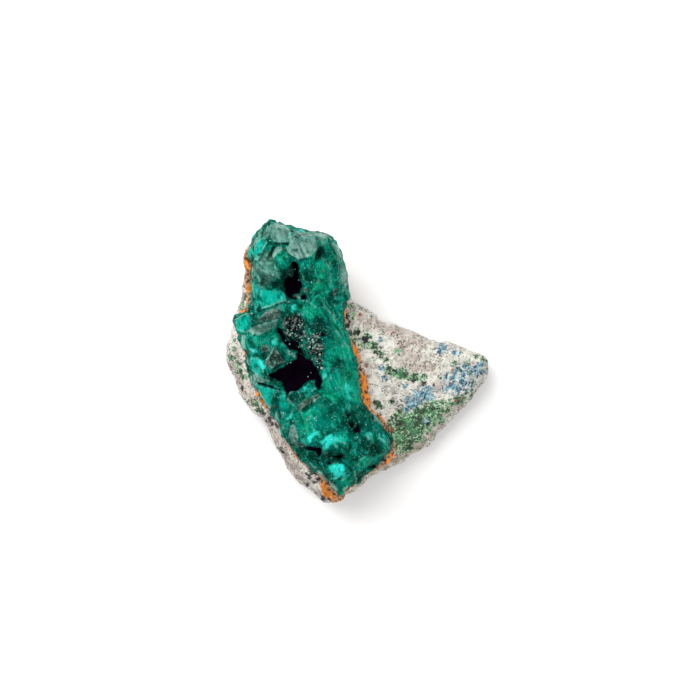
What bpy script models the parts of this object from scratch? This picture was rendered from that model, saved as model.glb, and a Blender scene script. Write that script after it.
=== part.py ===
"""A dioptase specimen on matrix: a bent ridge of green dioptase crystals, grown on a thin seam of
orange iron oxide, across a wedge of white calcite rock. It lies on the rock's flat cut back.

Metres, +Z up. The origin is the middle of the specimen's footprint, on the surface it rests on.
X runs to the rock's thin right wing and Y to the ridge's broad end. Sizes below are in millimetres.
"""

import math
import random
from itertools import combinations

import bmesh
import bpy
from mathutils import Matrix, Vector, noise
from mathutils.bvhtree import BVHTree

MM = 0.001
CURVE_STEPS = 12  # straight steps that draw a curve between two points of an outline

# Each node's colour and roughness.
ROCK_LOOK = ((0.72, 0.69, 0.64), 0.85)
SEAM_LOOK = ((0.80, 0.27, 0.05), 0.9)
CRYSTAL_LOOK = ((0.0, 0.22, 0.15), 0.1)

# The rock.
SEAT_HEIGHT = 8.2  # the rock's top under the ridge
WING_START = -1.0  # the top falls to the right of this x
WING_FALL = 0.085  # for each millimetre
FRONT_START = -2.0  # and the wing's top falls in front of this y
FRONT_FALL = 0.12  # for each millimetre, where the wing is full
WING_FULL = 6.0  # this far right of its start
SWELLS = ((0.45, 0.16, 1.7), (0.16, 0.42, 9.1))  # height, turns a millimetre, slice of the noise
BELLY_HEIGHT = 2.6  # where the rock is widest
FOOT_INSET = 0.9  # the flat back is this much smaller than the belly, all round
FOOT_CURVE = (0.55, 0.9)  # a ring between the back and the belly: share of the way out, and height
SIDE_BULGE = 1.5  # how long the sides stay near the belly's outline: 1 is straight
ROUND_OVER = 0.35  # how far the rim's edge is rounded down
SIDE_RINGS = 9
TOP_RINGS = 12
RIM_RING = 0.45  # how much closer to the rim the top's first ring lies, in rings
ROCK_SPOKES = 168
ROCK_VOXEL = 0.62  # the even mesh that the rock's lumps are raised on
ROCK_TRIANGLES = 2500
BACK_FLATNESS = 0.2  # points under this height are put on the back

# The rock's lumps and ledges.
LUMPS = (0.6, 0.33)  # height, and turns a millimetre
LEDGES = (1.1, 0.3)  # height, and cells a millimetre
LEDGE_SPREAD = 3.1  # how far apart, in cells, two ledges' heights are drawn
LEDGE_SINK = 0.2  # ledges lie this much deeper than they rise
TOP_SHARE = 0.15  # how much of the lumps shows on the top
BELLY_CALM = 0.35  # how much of them shows at the belly, which keeps the outline
BELLY_REACH = 0.5  # and how fast they grow above and below it, for each millimetre
FOOT_CALM = 0.8  # they fade out under this height
MOST_RISE = 0.05  # they raise the top no more than this, so that it stays clear of the seam

# The seam.
GAP = 0.3  # clear space between touching nodes
SEAM_THICKNESS = 0.9
SEAM_SPOKES = 120
SEAM_TRIANGLES = 860
RAGGEDNESS = (0.2, 1.1)  # the rim's unevenness, and turns a millimetre
RIM_LOW, RIM_HIGH = 0.25, 0.3  # how far the rim's edges are rounded, from its foot and its top
INNER_SHARES = (0.2, 0.45, 0.7, 0.9, 0.985)  # the seam's rings, from its middle to its rim
UPPER_RIM_SHARE = 0.997

# The ridge.
RHOMB_ANGLE = math.radians(50.8)  # between dioptase's long axis and the normal of an end face
RIDGE_SEED = 23
SHOWN_GROWTH = 1.0  # how far from its middle the face that shows has grown
END_GROWTH = (0.90, 1.06)  # and how far the other faces have, at the ends
SIDE_GROWTH = (0.78, 1.14)  # and at the sides
# The ridge's inner body: its inset, then shares of its outline and heights over the rock.
CORE_INSET = 0.35
CORE_STEPS = ((0.6, -2.0), (1.0, -2.0), (1.0, 2.2), (0.9, 3.6), (0.72, 4.6), (0.45, 5.2), (0.2, 5.4))
CORE_ENDS = (-0.5, 0.2)  # how far its middle points lie past its first and last ring
# The ridge's outermost reach: how far inside its outline, at which height.
WALL_SPOKES = 72
WALL_STEPS = ((0.3, 4.0), (0.0, 10.0), (-0.15, 12.0), (0.2, 14.0), (0.9, 16.0), (2.2, 18.5))
WALL_UNEVENNESS = (0.7, 0.55, 0.45)  # how much, and turns a millimetre, level and upright
# The block that trims the ridge's underside.
BLOCK_REACH = 24.0
BLOCK_STEP = 1.7
BLOCK_FOOT = -3.0

# The rock's widest outline, anticlockwise from the wing's tip: x, y, and how far the rim lies inside it.
ROCK_CENTRE = Vector((-4.9, -5.1))
ROCK_OUTLINE = (
    (20.1, -0.7, 1.0),
    (19.9, 0.6, 0.7),
    (17.2, 1.4, 0.6),
    (14.5, 2.3, 0.6),
    (11.1, 3.2, 0.7),
    (9.3, 4.2, 0.8),
    (6.9, 4.9, 0.9),
    (4.2, 5.7, 0.9),
    (2.7, 6.9, 0.9),
    (0.9, 7.5, 0.9),
    (-0.6, 8.5, 0.8),
    (-1.5, 11.4, 0.6),
    (-2.9, 14.9, 0.6),
    (-5.5, 17.4, 0.6),
    (-8.5, 18.3, 0.6),
    (-13.1, 19.7, 0.6),
    (-15.2, 17.7, 0.4),
    (-16.8, 15.4, 0.4),
    (-16.4, 13.4, 0.35),
    (-17.1, 11.3, 0.4),
    (-17.4, 9.3, 1.0),
    (-17.9, 7.6, 1.4),
    (-18.9, 5.8, 1.8),
    (-19.5, 3.4, 2.3),
    (-19.8, 1.6, 2.7),
    (-19.5, -0.8, 3.0),
    (-18.7, -2.6, 2.8),
    (-17.9, -4.3, 2.6),
    (-16.9, -6.4, 2.5),
    (-14.9, -8.5, 2.3),
    (-13.2, -10.4, 1.9),
    (-12.4, -13.0, 2.0),
    (-10.6, -15.7, 2.1),
    (-9.0, -18.2, 2.1),
    (-7.1, -19.4, 1.7),
    (-5.1, -21.2, 0.9),
    (-3.9, -21.4, 0.7),
    (-2.8, -20.7, 0.6),
    (-0.5, -19.3, 0.8),
    (2.4, -17.6, 1.0),
    (5.9, -16.2, 1.6),
    (8.7, -14.4, 2.1),
    (10.9, -13.1, 2.1),
    (13.1, -10.5, 1.8),
    (14.9, -8.7, 1.6),
    (16.6, -6.9, 1.5),
    (18.5, -4.1, 1.4),
    (19.8, -2.2, 1.2),
)

# Where the crystals meet the seam, anticlockwise from the inner corner: x, y, and how far the seam
# stands out past the crystals there.
RIDGE_CENTRE = Vector((-7.9, 1.7))
CONTACT_OUTLINE = (
    (-2.0, 7.2, 0.3),
    (-1.6, 8.2, -0.3),
    (-0.9, 9.2, -0.6),
    (-0.7, 10.5, -0.6),
    (-1.0, 12.6, -0.6),
    (-1.4, 14.8, -0.6),
    (-2.2, 16.2, -0.6),
    (-3.0, 17.4, -0.6),
    (-4.5, 19.0, -0.7),
    (-8.5, 19.5, -0.8),
    (-11.0, 20.4, -0.8),
    (-13.2, 21.0, -0.8),
    (-14.3, 20.0, -0.8),
    (-15.3, 18.0, -0.6),
    (-16.7, 16.3, -0.1),
    (-15.8, 14.9, 0.7),
    (-15.5, 13.4, 0.9),
    (-15.7, 11.6, 0.9),
    (-15.6, 10.0, 0.7),
    (-15.8, 8.6, 0.4),
    (-16.6, 7.3, 0.3),
    (-17.8, 6.9, -0.2),
    (-18.4, 5.9, -0.4),
    (-18.1, 4.4, -0.4),
    (-17.4, 2.4, -0.4),
    (-16.9, 0.6, -0.4),
    (-16.4, -1.4, -0.4),
    (-15.7, -3.2, -0.2),
    (-14.5, -4.9, 0.3),
    (-13.7, -6.2, 0.5),
    (-12.9, -7.7, 0.0),
    (-11.9, -9.4, -0.3),
    (-11.2, -11.1, -0.4),
    (-9.9, -12.9, 0.0),
    (-8.9, -14.1, 0.4),
    (-7.4, -15.5, 0.1),
    (-5.9, -16.6, -0.2),
    (-4.7, -17.5, 0.4),
    (-3.9, -18.4, 1.5),
    (-3.3, -19.4, 1.7),
    (-2.6, -20.5, 0.8),
    (-1.9, -20.2, 0.2),
    (-0.9, -19.3, -0.3),
    (1.4, -17.7, -0.5),
    (3.6, -15.9, 0.0),
    (5.0, -14.2, 0.6),
    (5.6, -12.5, 0.1),
    (5.1, -11.5, 0.1),
    (4.1, -10.3, 0.6),
    (2.9, -8.8, 0.6),
    (1.9, -7.7, 0.5),
    (0.9, -6.8, 1.2),
    (0.4, -5.7, 1.4),
    (0.3, -3.9, 1.1),
    (0.3, -2.2, 0.9),
    (0.4, -0.9, 0.1),
    (-0.2, 0.5, 0.5),
    (-0.7, 1.9, 0.6),
    (-1.1, 3.1, 0.0),
    (-1.5, 5.0, -0.3),
    (-1.8, 6.2, 0.0),
)

# The ridge's main crystals: the kind of face or end that shows, where its middle is, the way it looks
# (degrees from +X, and degrees of tilt from level), the crystal's width and length, and its turn
# about that way. "end" shows one of the three end faces, "side" a prism face and "point" the tip.
MAIN_CRYSTALS = (
    # The broad upper lobe, from its back end.
    ("back_knob", "end", (-12.6, 20.2, 13.6), (100, 24), 3.0, 8.5, 20),
    ("back_glass", "end", (-11.5, 18.5, 15.6), (330, 6), 4.4, 8.5, 35),
    ("back_slope", "end", (-10.2, 19.3, 13.9), (75, 34), 3.4, 8.0, 0),
    ("back_left_plate", "end", (-14.3, 17.1, 14.5), (170, 30), 3.3, 9.0, -25),
    ("back_left_side", "side", (-15.6, 16.4, 12.3), (172, 66), 3.4, 7.0, 15),
    ("summit_plate", "end", (-7.7, 16.7, 16.6), (80, 4), 4.8, 9.5, 40),
    ("summit_back", "end", (-7.4, 18.9, 14.2), (85, 40), 3.8, 8.0, 10),
    ("back_right_knob", "end", (-4.9, 17.9, 14.9), (60, 24), 2.9, 8.5, 0),
    ("right_shoulder", "end", (-3.5, 15.9, 14.2), (35, 36), 3.8, 9.0, 15),
    ("right_greens", "side", (-2.6, 13.8, 13.5), (12, 52), 3.6, 7.5, 70),
    ("right_edge", "side", (-1.9, 11.7, 12.6), (0, 58), 3.6, 6.5, 20),
    ("left_face", "side", (-13.3, 13.0, 15.6), (196, 14), 8.6, 9.4, 84),
    ("left_face_side", "side", (-15.5, 12.9, 12.9), (184, 64), 4.4, 7.5, 80),
    ("middle_prism", "side", (-10.9, 14.8, 16.5), (215, 20), 4.4, 6.0, 80),
    ("centre_ridge", "side", (-7.6, 13.6, 16.2), (330, 14), 3.8, 6.5, 100),
    ("centre_block", "end", (-5.6, 13.4, 15.9), (300, 12), 4.6, 10.0, 25),
    ("centre_step", "end", (-6.4, 10.6, 15.6), (280, 15), 4.2, 9.0, 0),
    ("centre_low", "end", (-4.0, 9.4, 14.2), (300, 30), 3.6, 8.0, 35),
    ("left_foot", "end", (-14.0, 9.4, 14.6), (228, 22), 4.4, 9.5, -20),
    ("left_foot_inner", "end", (-11.8, 8.9, 15.3), (262, 20), 3.4, 8.5, 15),
    ("left_corner", "side", (-15.9, 9.8, 12.6), (190, 60), 3.8, 7.0, 40),
    ("right_foot", "end", (-2.3, 9.4, 12.6), (335, 44), 3.4, 7.0, 10),
    # The long lower lobe, from the step below the upper one.
    ("step_wedge", "side", (-13.5, 6.0, 15.3), (250, 10), 5.6, 8.0, 78),
    ("step_left", "end", (-16.8, 5.6, 12.9), (165, 32), 3.4, 8.0, -15),
    ("step_left_side", "side", (-17.1, 3.6, 11.8), (180, 62), 3.4, 6.5, 70),
    ("step_middle", "end", (-10.0, 6.8, 15.4), (275, 16), 3.8, 9.0, 10),
    ("step_right", "end", (-6.4, 6.9, 16.3), (310, 14), 4.6, 10.0, -20),
    ("step_far_right", "end", (-3.3, 6.4, 14.6), (10, 34), 4.0, 9.0, 20),
    ("left_upper", "side", (-15.7, 2.4, 13.7), (188, 38), 5.6, 8.0, 80),
    ("left_tooth", "point", (-12.6, 0.9, 15.3), (265, 14), 2.6, 8.0, 5),
    ("left_green", "end", (-12.2, 3.1, 15.2), (230, 20), 2.4, 8.0, 5),
    ("left_middle", "side", (-15.1, -1.5, 13.3), (203, 42), 6.0, 8.5, 84),
    ("left_pocket_edge", "end", (-13.8, -1.2, 14.7), (215, 16), 2.6, 8.0, 10),
    ("vug_floor", "end", (-9.2, 4.6, 13.9), (200, 12), 4.0, 7.0, 0),
    ("right_crest", "side", (-4.6, 4.0, 16.4), (15, 18), 5.6, 8.0, 96),
    ("right_upper_flank", "side", (-1.9, 1.8, 14.4), (12, 42), 8.0, 13.0, 92),
    ("right_inner_wall", "side", (-4.4, -2.4, 16.4), (10, 10), 5.0, 9.0, 98),
    ("right_middle_flank", "side", (-0.7, -3.6, 14.4), (14, 42), 8.4, 14.5, 86),
    ("right_lower_flank", "side", (1.4, -8.0, 13.7), (22, 42), 7.6, 11.5, 94),
    ("right_foot_upper", "side", (-0.4, 0.4, 11.9), (8, 62), 4.0, 9.0, 84),
    ("right_foot_lower", "side", (1.7, -5.0, 11.9), (16, 62), 4.2, 9.0, 98),
    ("pocket_sill", "end", (-8.4, -5.8, 15.2), (70, 16), 4.2, 9.0, 10),
    ("left_low_blade", "side", (-14.0, -5.2, 12.7), (218, 50), 3.6, 8.5, 88),
    ("left_low_face", "side", (-12.4, -5.8, 14.4), (222, 30), 5.6, 8.5, 84),
    ("left_low_foot", "side", (-11.9, -9.6, 12.2), (220, 54), 3.6, 7.5, 92),
    ("belly_left", "end", (-8.6, -9.0, 15.5), (240, 14), 5.0, 10.5, 35),
    ("belly_middle", "end", (-5.0, -8.4, 16.1), (280, 7), 6.2, 11.0, -15),
    ("belly_right", "end", (-1.8, -9.0, 15.5), (330, 14), 5.0, 10.5, 20),
    ("belly_front", "end", (-5.6, -11.2, 15.5), (265, 14), 5.2, 10.5, 50),
    ("low_left_step", "side", (-9.4, -12.2, 13.5), (226, 38), 4.0, 8.5, 86),
    ("low_middle", "end", (-2.4, -12.2, 15.0), (290, 12), 4.8, 10.0, 20),
    ("low_right", "end", (1.5, -10.8, 14.2), (350, 18), 4.8, 10.0, 45),
    ("right_corner", "end", (4.0, -12.3, 12.4), (355, 34), 4.0, 8.5, 10),
    ("low_left_end", "end", (-6.8, -14.6, 13.6), (235, 26), 4.2, 8.5, 30),
    ("front_turquoise", "end", (-3.6, -15.9, 13.6), (270, 20), 3.6, 8.5, 0),
    ("front_right_face", "side", (0.7, -14.9, 13.0), (303, 36), 8.0, 10.5, 88),
    ("front_face", "end", (-1.6, -17.2, 12.4), (285, 30), 3.8, 8.5, 25),
    ("front_tip", "end", (-3.2, -18.9, 11.2), (280, 42), 3.0, 7.5, 0),
    ("front_left_step", "side", (-6.0, -16.9, 11.9), (228, 46), 3.6, 7.0, 80),
)

# Small crystals on the main ones: the least height, and what each is drawn from.
SMALL_OVER = 11.5
SMALL_WIDTH = (1.0, 1.9)
SMALL_SLENDERNESS = 2.3  # its length for its width
SMALL_RISE = (0.1, 0.35)  # how far what shows of it stands out of the face
SMALL_TURN = 35  # how far it looks away from where the face looks, in degrees
SMALL_LEAN = (-10, 20)  # and how much more it is tilted
# Where they sit: the middle of a patch, its reach, and how many.
SMALL_CRYSTALS = (
    ((-11.0, 18.0), 3.6, 4),
    ((-5.0, 12.6), 4.2, 10),
    ((-14.6, 10.5), 3.2, 2),
    ((-9.2, 5.0), 3.2, 8),
    ((-4.6, 7.0), 3.0, 3),
    ((-15.8, 3.0), 2.8, 2),
    ((-13.4, -2.2), 2.4, 3),
    ((-12.8, -5.0), 2.6, 2),
    ((-4.4, -9.6), 4.2, 1),
    ((-6.0, -13.6), 3.0, 3),
    ((-2.4, -15.4), 3.2, 3),
)

# The crystals that line the pockets, given as the main ones are.
POCKET_CRYSTALS = (
    ("pocket_teal", "end", (-7.4, -4.2, 13.9), (60, 18), 1.9, 5.0, 20),
    ("pocket_floor_left", "end", (-11.0, -1.4, 12.6), (80, 30), 2.2, 4.0, 0),
    ("pocket_floor_back", "point", (-9.2, 0.8, 12.9), (250, 25), 1.7, 4.5, 0),
    ("pocket_floor_right", "point", (-6.6, -1.2, 13.0), (170, 28), 1.5, 4.0, 30),
    ("pocket_wall_left", "end", (-12.0, -3.4, 13.6), (20, 36), 1.7, 4.5, 15),
    ("upper_floor", "point", (-9.6, 11.4, 13.0), (60, 18), 1.5, 4.0, 0),
    ("upper_wall", "end", (-8.3, 13.0, 13.6), (200, 35), 1.5, 4.5, 10),
    ("vug_left", "point", (-10.5, 5.2, 14.5), (320, 24), 1.3, 3.5, 0),
    ("vug_right", "point", (-8.0, 4.0, 14.7), (150, 22), 1.4, 3.5, 25),
    ("vug_front", "end", (-9.4, 3.3, 14.4), (90, 30), 1.2, 3.5, 0),
)

# The open pockets, which are crystal-shaped hollows, given as the main crystals are.
POCKET_HOLLOWS = (
    ("upper_slit", "point", (-9.3, 14.2, 12.0), (100, 177), 1.5, 14.0, 20),
    ("upper_pocket", "point", (-9.6, 12.6, 11.2), (60, 176), 3.0, 14.0, 10),
    ("upper_pocket_end", "point", (-8.6, 10.6, 11.8), (340, 174), 2.2, 14.0, 0),
    ("vug", "point", (-9.2, 4.9, 12.4), (0, 178), 3.4, 14.0, 30),
    ("lower_pocket_back", "point", (-8.4, 0.9, 11.6), (30, 176), 4.0, 15.0, 15),
    ("lower_pocket", "point", (-8.9, -1.9, 10.9), (255, 178), 6.0, 15.0, 5),
    ("lower_pocket_left", "point", (-11.5, -2.2, 11.7), (200, 174), 3.2, 15.0, 40),
    ("lower_pocket_right", "point", (-6.6, -2.9, 11.5), (340, 176), 2.8, 15.0, 0),
    ("small_hole", "point", (-0.4, -10.2, 12.9), (300, 160), 0.9, 8.0, 0),
)


def smooth_loop(outline, count):
    """The closed curve through an outline's points, as evenly spaced points.

    The outline's third value goes along with each point."""
    corners = len(outline)
    samples = []
    for i in range(corners):
        a, b, c, d = (Vector(outline[(i + k) % corners]) for k in (-1, 0, 1, 2))
        for step in range(CURVE_STEPS):
            t = step / CURVE_STEPS
            even = 2 * b + (c - a) * t
            bent = (2 * a - 5 * b + 4 * c - d) * t * t + (3 * b - a - 3 * c + d) * t ** 3
            samples.append((even + bent) / 2)
    samples.append(samples[0])
    run = [0.0]
    for before, after in zip(samples, samples[1:]):
        run.append(run[-1] + (after.xy - before.xy).length)
    loop = []
    k = 0
    for i in range(count):
        along = run[-1] * i / count
        while run[k + 1] <= along:
            k += 1
        loop.append(samples[k].lerp(samples[k + 1], (along - run[k]) / (run[k + 1] - run[k])))
    return loop


def inward(loop, i):
    """The level direction into the loop at its point i."""
    along = loop[(i + 2) % len(loop)] - loop[i - 2]
    return Vector((-along.y, along.x)).normalized()


def seat(x, y):
    """The height of the rock's top, before its grain."""
    wing = max(0.0, x - WING_START)
    front = max(0.0, FRONT_START - y) * min(1.0, wing / WING_FULL)
    swell = 0.0
    for height, turns, level in SWELLS:
        swell += height * noise.noise(Vector((x * turns, y * turns, level)))
    return SEAT_HEIGHT - WING_FALL * wing - FRONT_FALL * front + swell


def new_object(name, mesh, look):
    """An object with its own plain material."""
    colour, roughness = look
    obj = bpy.data.objects.new(name, mesh)
    bpy.context.scene.collection.objects.link(obj)
    material = bpy.data.materials.new(name)
    material.use_nodes = True
    shader = material.node_tree.nodes["Principled BSDF"]
    shader.inputs["Base Color"].default_value = (*colour, 1.0)
    shader.inputs["Roughness"].default_value = roughness
    mesh.materials.append(material)
    return obj


def bridged(rings, first_pole, last_pole):
    """A bmesh skinned over rings of as many points each, closed by a point at either end."""
    bm = bmesh.new()
    rows = [[bm.verts.new(p * MM) for p in ring] for ring in rings]
    spokes = len(rows[0])
    for low, high in zip(rows, rows[1:]):
        for i in range(spokes):
            j = (i + 1) % spokes
            bm.faces.new((low[i], low[j], high[j], high[i]))
    for pole, row, flip in ((first_pole, rows[0], True), (last_pole, rows[-1], False)):
        end = bm.verts.new(pole * MM)
        for i in range(spokes):
            j = (i + 1) % spokes
            corners = (row[i], row[j], end)
            bm.faces.new(corners[::-1] if flip else corners)
    return bm


def ring_inside(loop, centre, share, height):
    """A ring of points at a share of the way from the centre to the loop."""
    ring = []
    for p in loop:
        x = centre.x + (p.x - centre.x) * share
        y = centre.y + (p.y - centre.y) * share
        ring.append(Vector((x, y, height(x, y))))
    return ring


def rock_rings():
    """The rock from the middle of its back, out and up its sides, and in over its top."""
    belly = smooth_loop(ROCK_OUTLINE, ROCK_SPOKES)
    flat = [Vector((p.x, p.y)) for p in belly]
    into = [inward(flat, i) for i in range(ROCK_SPOKES)]
    foot = [p + n * FOOT_INSET for p, n in zip(flat, into)]
    rim = [p + n * b.z for p, n, b in zip(flat, into, belly)]
    rings = [ring_inside(foot, ROCK_CENTRE, 0.5, lambda x, y: 0.0)]
    rings.append([Vector((p.x, p.y, 0.0)) for p in foot])
    share, height = FOOT_CURVE
    rings.append([Vector((*f.lerp(p, share), height)) for f, p in zip(foot, flat)])
    for k in range(SIDE_RINGS):
        t = k / (SIDE_RINGS - 1)
        ring = []
        for p, r in zip(flat, rim):
            top = seat(r.x, r.y) - ROUND_OVER
            lean = t ** SIDE_BULGE
            ring.append(Vector((*p.lerp(r, lean), BELLY_HEIGHT + (top - BELLY_HEIGHT) * t)))
        rings.append(ring)
    for k in range(1, TOP_RINGS):
        share = 1 - (k - RIM_RING) / TOP_RINGS
        rings.append(ring_inside(rim, ROCK_CENTRE, share, seat))
    return rings


def mesh_of(bm, name):
    """Writes a bmesh to a new mesh, facing out, and frees it."""
    bmesh.ops.recalc_face_normals(bm, faces=bm.faces)
    mesh = bpy.data.meshes.new(name)
    bm.to_mesh(mesh)
    bm.free()
    return mesh


def with_modifier(mesh, kind, settings):
    """A copy of a mesh with one modifier applied."""
    obj = bpy.data.objects.new("working", mesh)
    bpy.context.scene.collection.objects.link(obj)
    modifier = obj.modifiers.new(kind.lower(), kind)
    for name, value in settings.items():
        setattr(modifier, name, value)
    graph = bpy.context.evaluated_depsgraph_get()
    changed = bpy.data.meshes.new_from_object(obj.evaluated_get(graph))
    bpy.data.objects.remove(obj)
    return changed


def decimated(mesh, triangles):
    now = sum(len(p.vertices) - 2 for p in mesh.polygons)
    return with_modifier(mesh, "DECIMATE", {"ratio": triangles / now})


def flatten_back(mesh):
    """Puts every point near the rock's back exactly on it."""
    for v in mesh.vertices:
        if v.co.z < BACK_FLATNESS * MM:
            v.co.z = 0.0


def roughen_rock(mesh):
    """Raises lumps and ledges on the rock's sides, and fainter ones on its top."""
    lump_height, lump_turns = LUMPS
    ledge_height, ledge_cells = LEDGES
    moves = []
    for v in mesh.vertices:
        p = v.co / MM
        lumps = lump_height * noise.fractal(p * lump_turns, 1.0, 2.1, 3)
        _, cells = noise.voronoi(p * ledge_cells)
        ledges = ledge_height * noise.noise(cells[0] * LEDGE_SPREAD) - LEDGE_SINK
        side = 1.0 - abs(v.normal.z)
        free = min(1.0, BELLY_CALM + BELLY_REACH * abs(p.z - BELLY_HEIGHT))
        move = v.normal * (lumps * (TOP_SHARE + (1 - TOP_SHARE) * side) + ledges * side) * free
        move.z = min(move.z, MOST_RISE)
        moves.append(move * MM * min(1.0, p.z / FOOT_CALM))
    for v, move in zip(mesh.vertices, moves):
        v.co += move


def make_matrix():
    """The rock, one solid with a flat back."""
    back = Vector((*ROCK_CENTRE, 0.0))
    top = Vector((*ROCK_CENTRE, seat(*ROCK_CENTRE)))
    smooth = mesh_of(bridged(rock_rings(), back, top), "matrix")
    mesh = with_modifier(smooth, "REMESH", {"mode": "VOXEL", "voxel_size": ROCK_VOXEL * MM})
    flatten_back(mesh)
    roughen_rock(mesh)
    mesh = decimated(mesh, ROCK_TRIANGLES)
    flatten_back(mesh)
    new_object("matrix", mesh, ROCK_LOOK)


def seam_foot(x, y):
    return seat(x, y) + GAP


def seam_top(x, y):
    return seam_foot(x, y) + SEAM_THICKNESS


def make_seam():
    """The orange seam, a thin sheet on the rock, with a ragged rim that stands out in places."""
    contact = smooth_loop(CONTACT_OUTLINE, SEAM_SPOKES)
    most, turns = RAGGEDNESS
    rim = []
    for i, p in enumerate(contact):
        ragged = most * noise.noise(Vector((p.x * turns, p.y * turns, 4.2)))
        rim.append(Vector(p[:2]) - inward(contact, i) * (p.z + ragged))
    rings = [ring_inside(rim, RIDGE_CENTRE, share, seam_foot) for share in INNER_SHARES]
    rings.append(ring_inside(rim, RIDGE_CENTRE, 1.0, lambda x, y: seam_foot(x, y) + RIM_LOW))
    rings.append(ring_inside(rim, RIDGE_CENTRE, UPPER_RIM_SHARE, lambda x, y: seam_top(x, y) - RIM_HIGH))
    rings += [ring_inside(rim, RIDGE_CENTRE, share, seam_top) for share in INNER_SHARES[::-1]]
    foot = Vector((*RIDGE_CENTRE, seam_foot(*RIDGE_CENTRE)))
    top = Vector((*RIDGE_CENTRE, seam_top(*RIDGE_CENTRE)))
    mesh = decimated(mesh_of(bridged(rings, foot, top), "iron_oxide_seam"), SEAM_TRIANGLES)
    new_object("iron_oxide_seam", mesh, SEAM_LOOK)


def helper_collection(name):
    collection = bpy.data.collections.new(name)
    bpy.context.scene.collection.children.link(collection)
    return collection


def helper(name, mesh, collection):
    """An object that only cuts or joins, is never rendered, and is removed once the ridge is made."""
    obj = bpy.data.objects.new(name, mesh)
    collection.objects.link(obj)
    obj.hide_render = True
    obj.display_type = "WIRE"
    return obj


def crystal_collection(name, crystals, rng):
    """A collection of helper crystals, one for each line of a table."""
    collection = helper_collection(name)
    for own_name, *crystal in crystals:
        helper(own_name, crystal_mesh(own_name, crystal, rng), collection)
    return collection


def end_normal(k):
    """The normal of one of the three faces at a crystal's upper end."""
    a = math.radians(30 + 120 * k)
    flat = math.sin(RHOMB_ANGLE)
    return Vector((flat * math.cos(a), flat * math.sin(a), math.cos(RHOMB_ANGLE)))


def crystal_corners(kind, width, length, rng):
    """The corners of a dioptase crystal about its middle: a six-sided prism with three-faced ends.

    The face that shows is exact, and the others have grown unevenly."""
    end = length / 2 * math.cos(RHOMB_ANGLE)
    planes = []
    for k in range(3):
        shown = kind != "side" and k == 0
        grown = SHOWN_GROWTH if shown else rng.uniform(*END_GROWTH)
        planes.append((end_normal(k), end * grown))
        planes.append((-end_normal(k), end * rng.uniform(*END_GROWTH)))
    for k in range(6):
        a = math.radians(60 * k)
        shown = kind == "side" and k == 0
        grown = SHOWN_GROWTH if shown else rng.uniform(*SIDE_GROWTH)
        planes.append((Vector((math.cos(a), math.sin(a), 0.0)), width / 2 * grown))
    corners = []
    for trio in combinations(planes, 3):
        meeting = Matrix([normal for normal, _ in trio])
        if abs(meeting.determinant()) < 1e-6:
            continue
        corner = meeting.inverted() @ Vector([reach for _, reach in trio])
        if all(corner.dot(normal) <= reach + 1e-6 for normal, reach in planes):
            corners.append(corner)
    return corners


def axes_of(along, normal):
    """The rotation that takes X to a direction and Z to a normal square to it."""
    return Matrix((along, normal.cross(along), normal)).transposed()


def shown_part(kind, width, length):
    """The middle of what shows on an upright crystal, the way it looks, and a direction square to that."""
    ring = width / 2 / math.cos(math.radians(30))
    a = math.radians(30)
    down = Vector((ring * math.cos(a), ring * math.sin(a), -ring * math.tan(RHOMB_ANGLE)))
    tip = Vector((0, 0, length / 2))
    if kind == "end":
        return tip + down / 2, end_normal(0), down.normalized()
    if kind == "side":
        return Vector((width / 2, 0, 0)), Vector((1, 0, 0)), Vector((0, 0, 1))
    return tip, Vector((0, 0, 1)), Vector((1, 0, 0))


def crystal_mesh(name, crystal, rng):
    """A crystal's mesh, placed by what it shows."""
    kind, at, (looks, tilt), width, length, turn = crystal
    middle, own_normal, own_along = shown_part(kind, width, length)
    looks, tilt = math.radians(looks), math.radians(tilt)
    level = Vector((math.cos(looks), math.sin(looks), 0.0))
    normal = level * math.sin(tilt) + Vector((0, 0, math.cos(tilt)))
    downhill = level * math.cos(tilt) - Vector((0, 0, math.sin(tilt)))
    downhill.rotate(Matrix.Rotation(math.radians(turn), 3, normal))
    turned = axes_of(downhill, normal) @ axes_of(own_along, own_normal).transposed()
    bm = bmesh.new()
    for corner in crystal_corners(kind, width, length, rng):
        bm.verts.new((turned @ (corner - middle) + Vector(at)) * MM)
    bmesh.ops.remove_doubles(bm, verts=bm.verts, dist=0.02 * MM)
    bmesh.ops.convex_hull(bm, input=bm.verts)
    bmesh.ops.dissolve_limit(bm, angle_limit=math.radians(0.5), verts=bm.verts, edges=bm.edges)
    return mesh_of(bm, name)


def small_crystals(meshes, rng):
    """Small crystals seeded over the main ones, each standing out of the face that it grew on."""
    corners, faces = [], []
    for mesh in meshes:
        first = len(corners)
        corners += [v.co / MM for v in mesh.vertices]
        faces += [[first + i for i in p.vertices] for p in mesh.polygons]
    surface = BVHTree.FromPolygons(corners, faces)
    placed = []
    for (x, y), reach, count in SMALL_CRYSTALS:
        for _ in range(count):
            a = rng.uniform(0, math.tau)
            out = reach * math.sqrt(rng.random())
            above = Vector((x + out * math.cos(a), y + out * math.sin(a), 40))
            hit, normal, _, _ = surface.ray_cast(above, Vector((0, 0, -1)))
            if hit is None or hit.z < SMALL_OVER:
                continue
            looks = math.degrees(math.atan2(normal.y, normal.x)) + rng.uniform(-SMALL_TURN, SMALL_TURN)
            tilt = math.degrees(math.acos(min(1.0, normal.z))) + rng.uniform(*SMALL_LEAN)
            width = rng.uniform(*SMALL_WIDTH)
            at = hit + normal * rng.uniform(*SMALL_RISE)
            kind = rng.choice(("end", "side", "point"))
            length = width * SMALL_SLENDERNESS
            placed.append((kind, at, (looks, tilt), width, length, rng.uniform(-90, 90)))
    return placed


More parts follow.
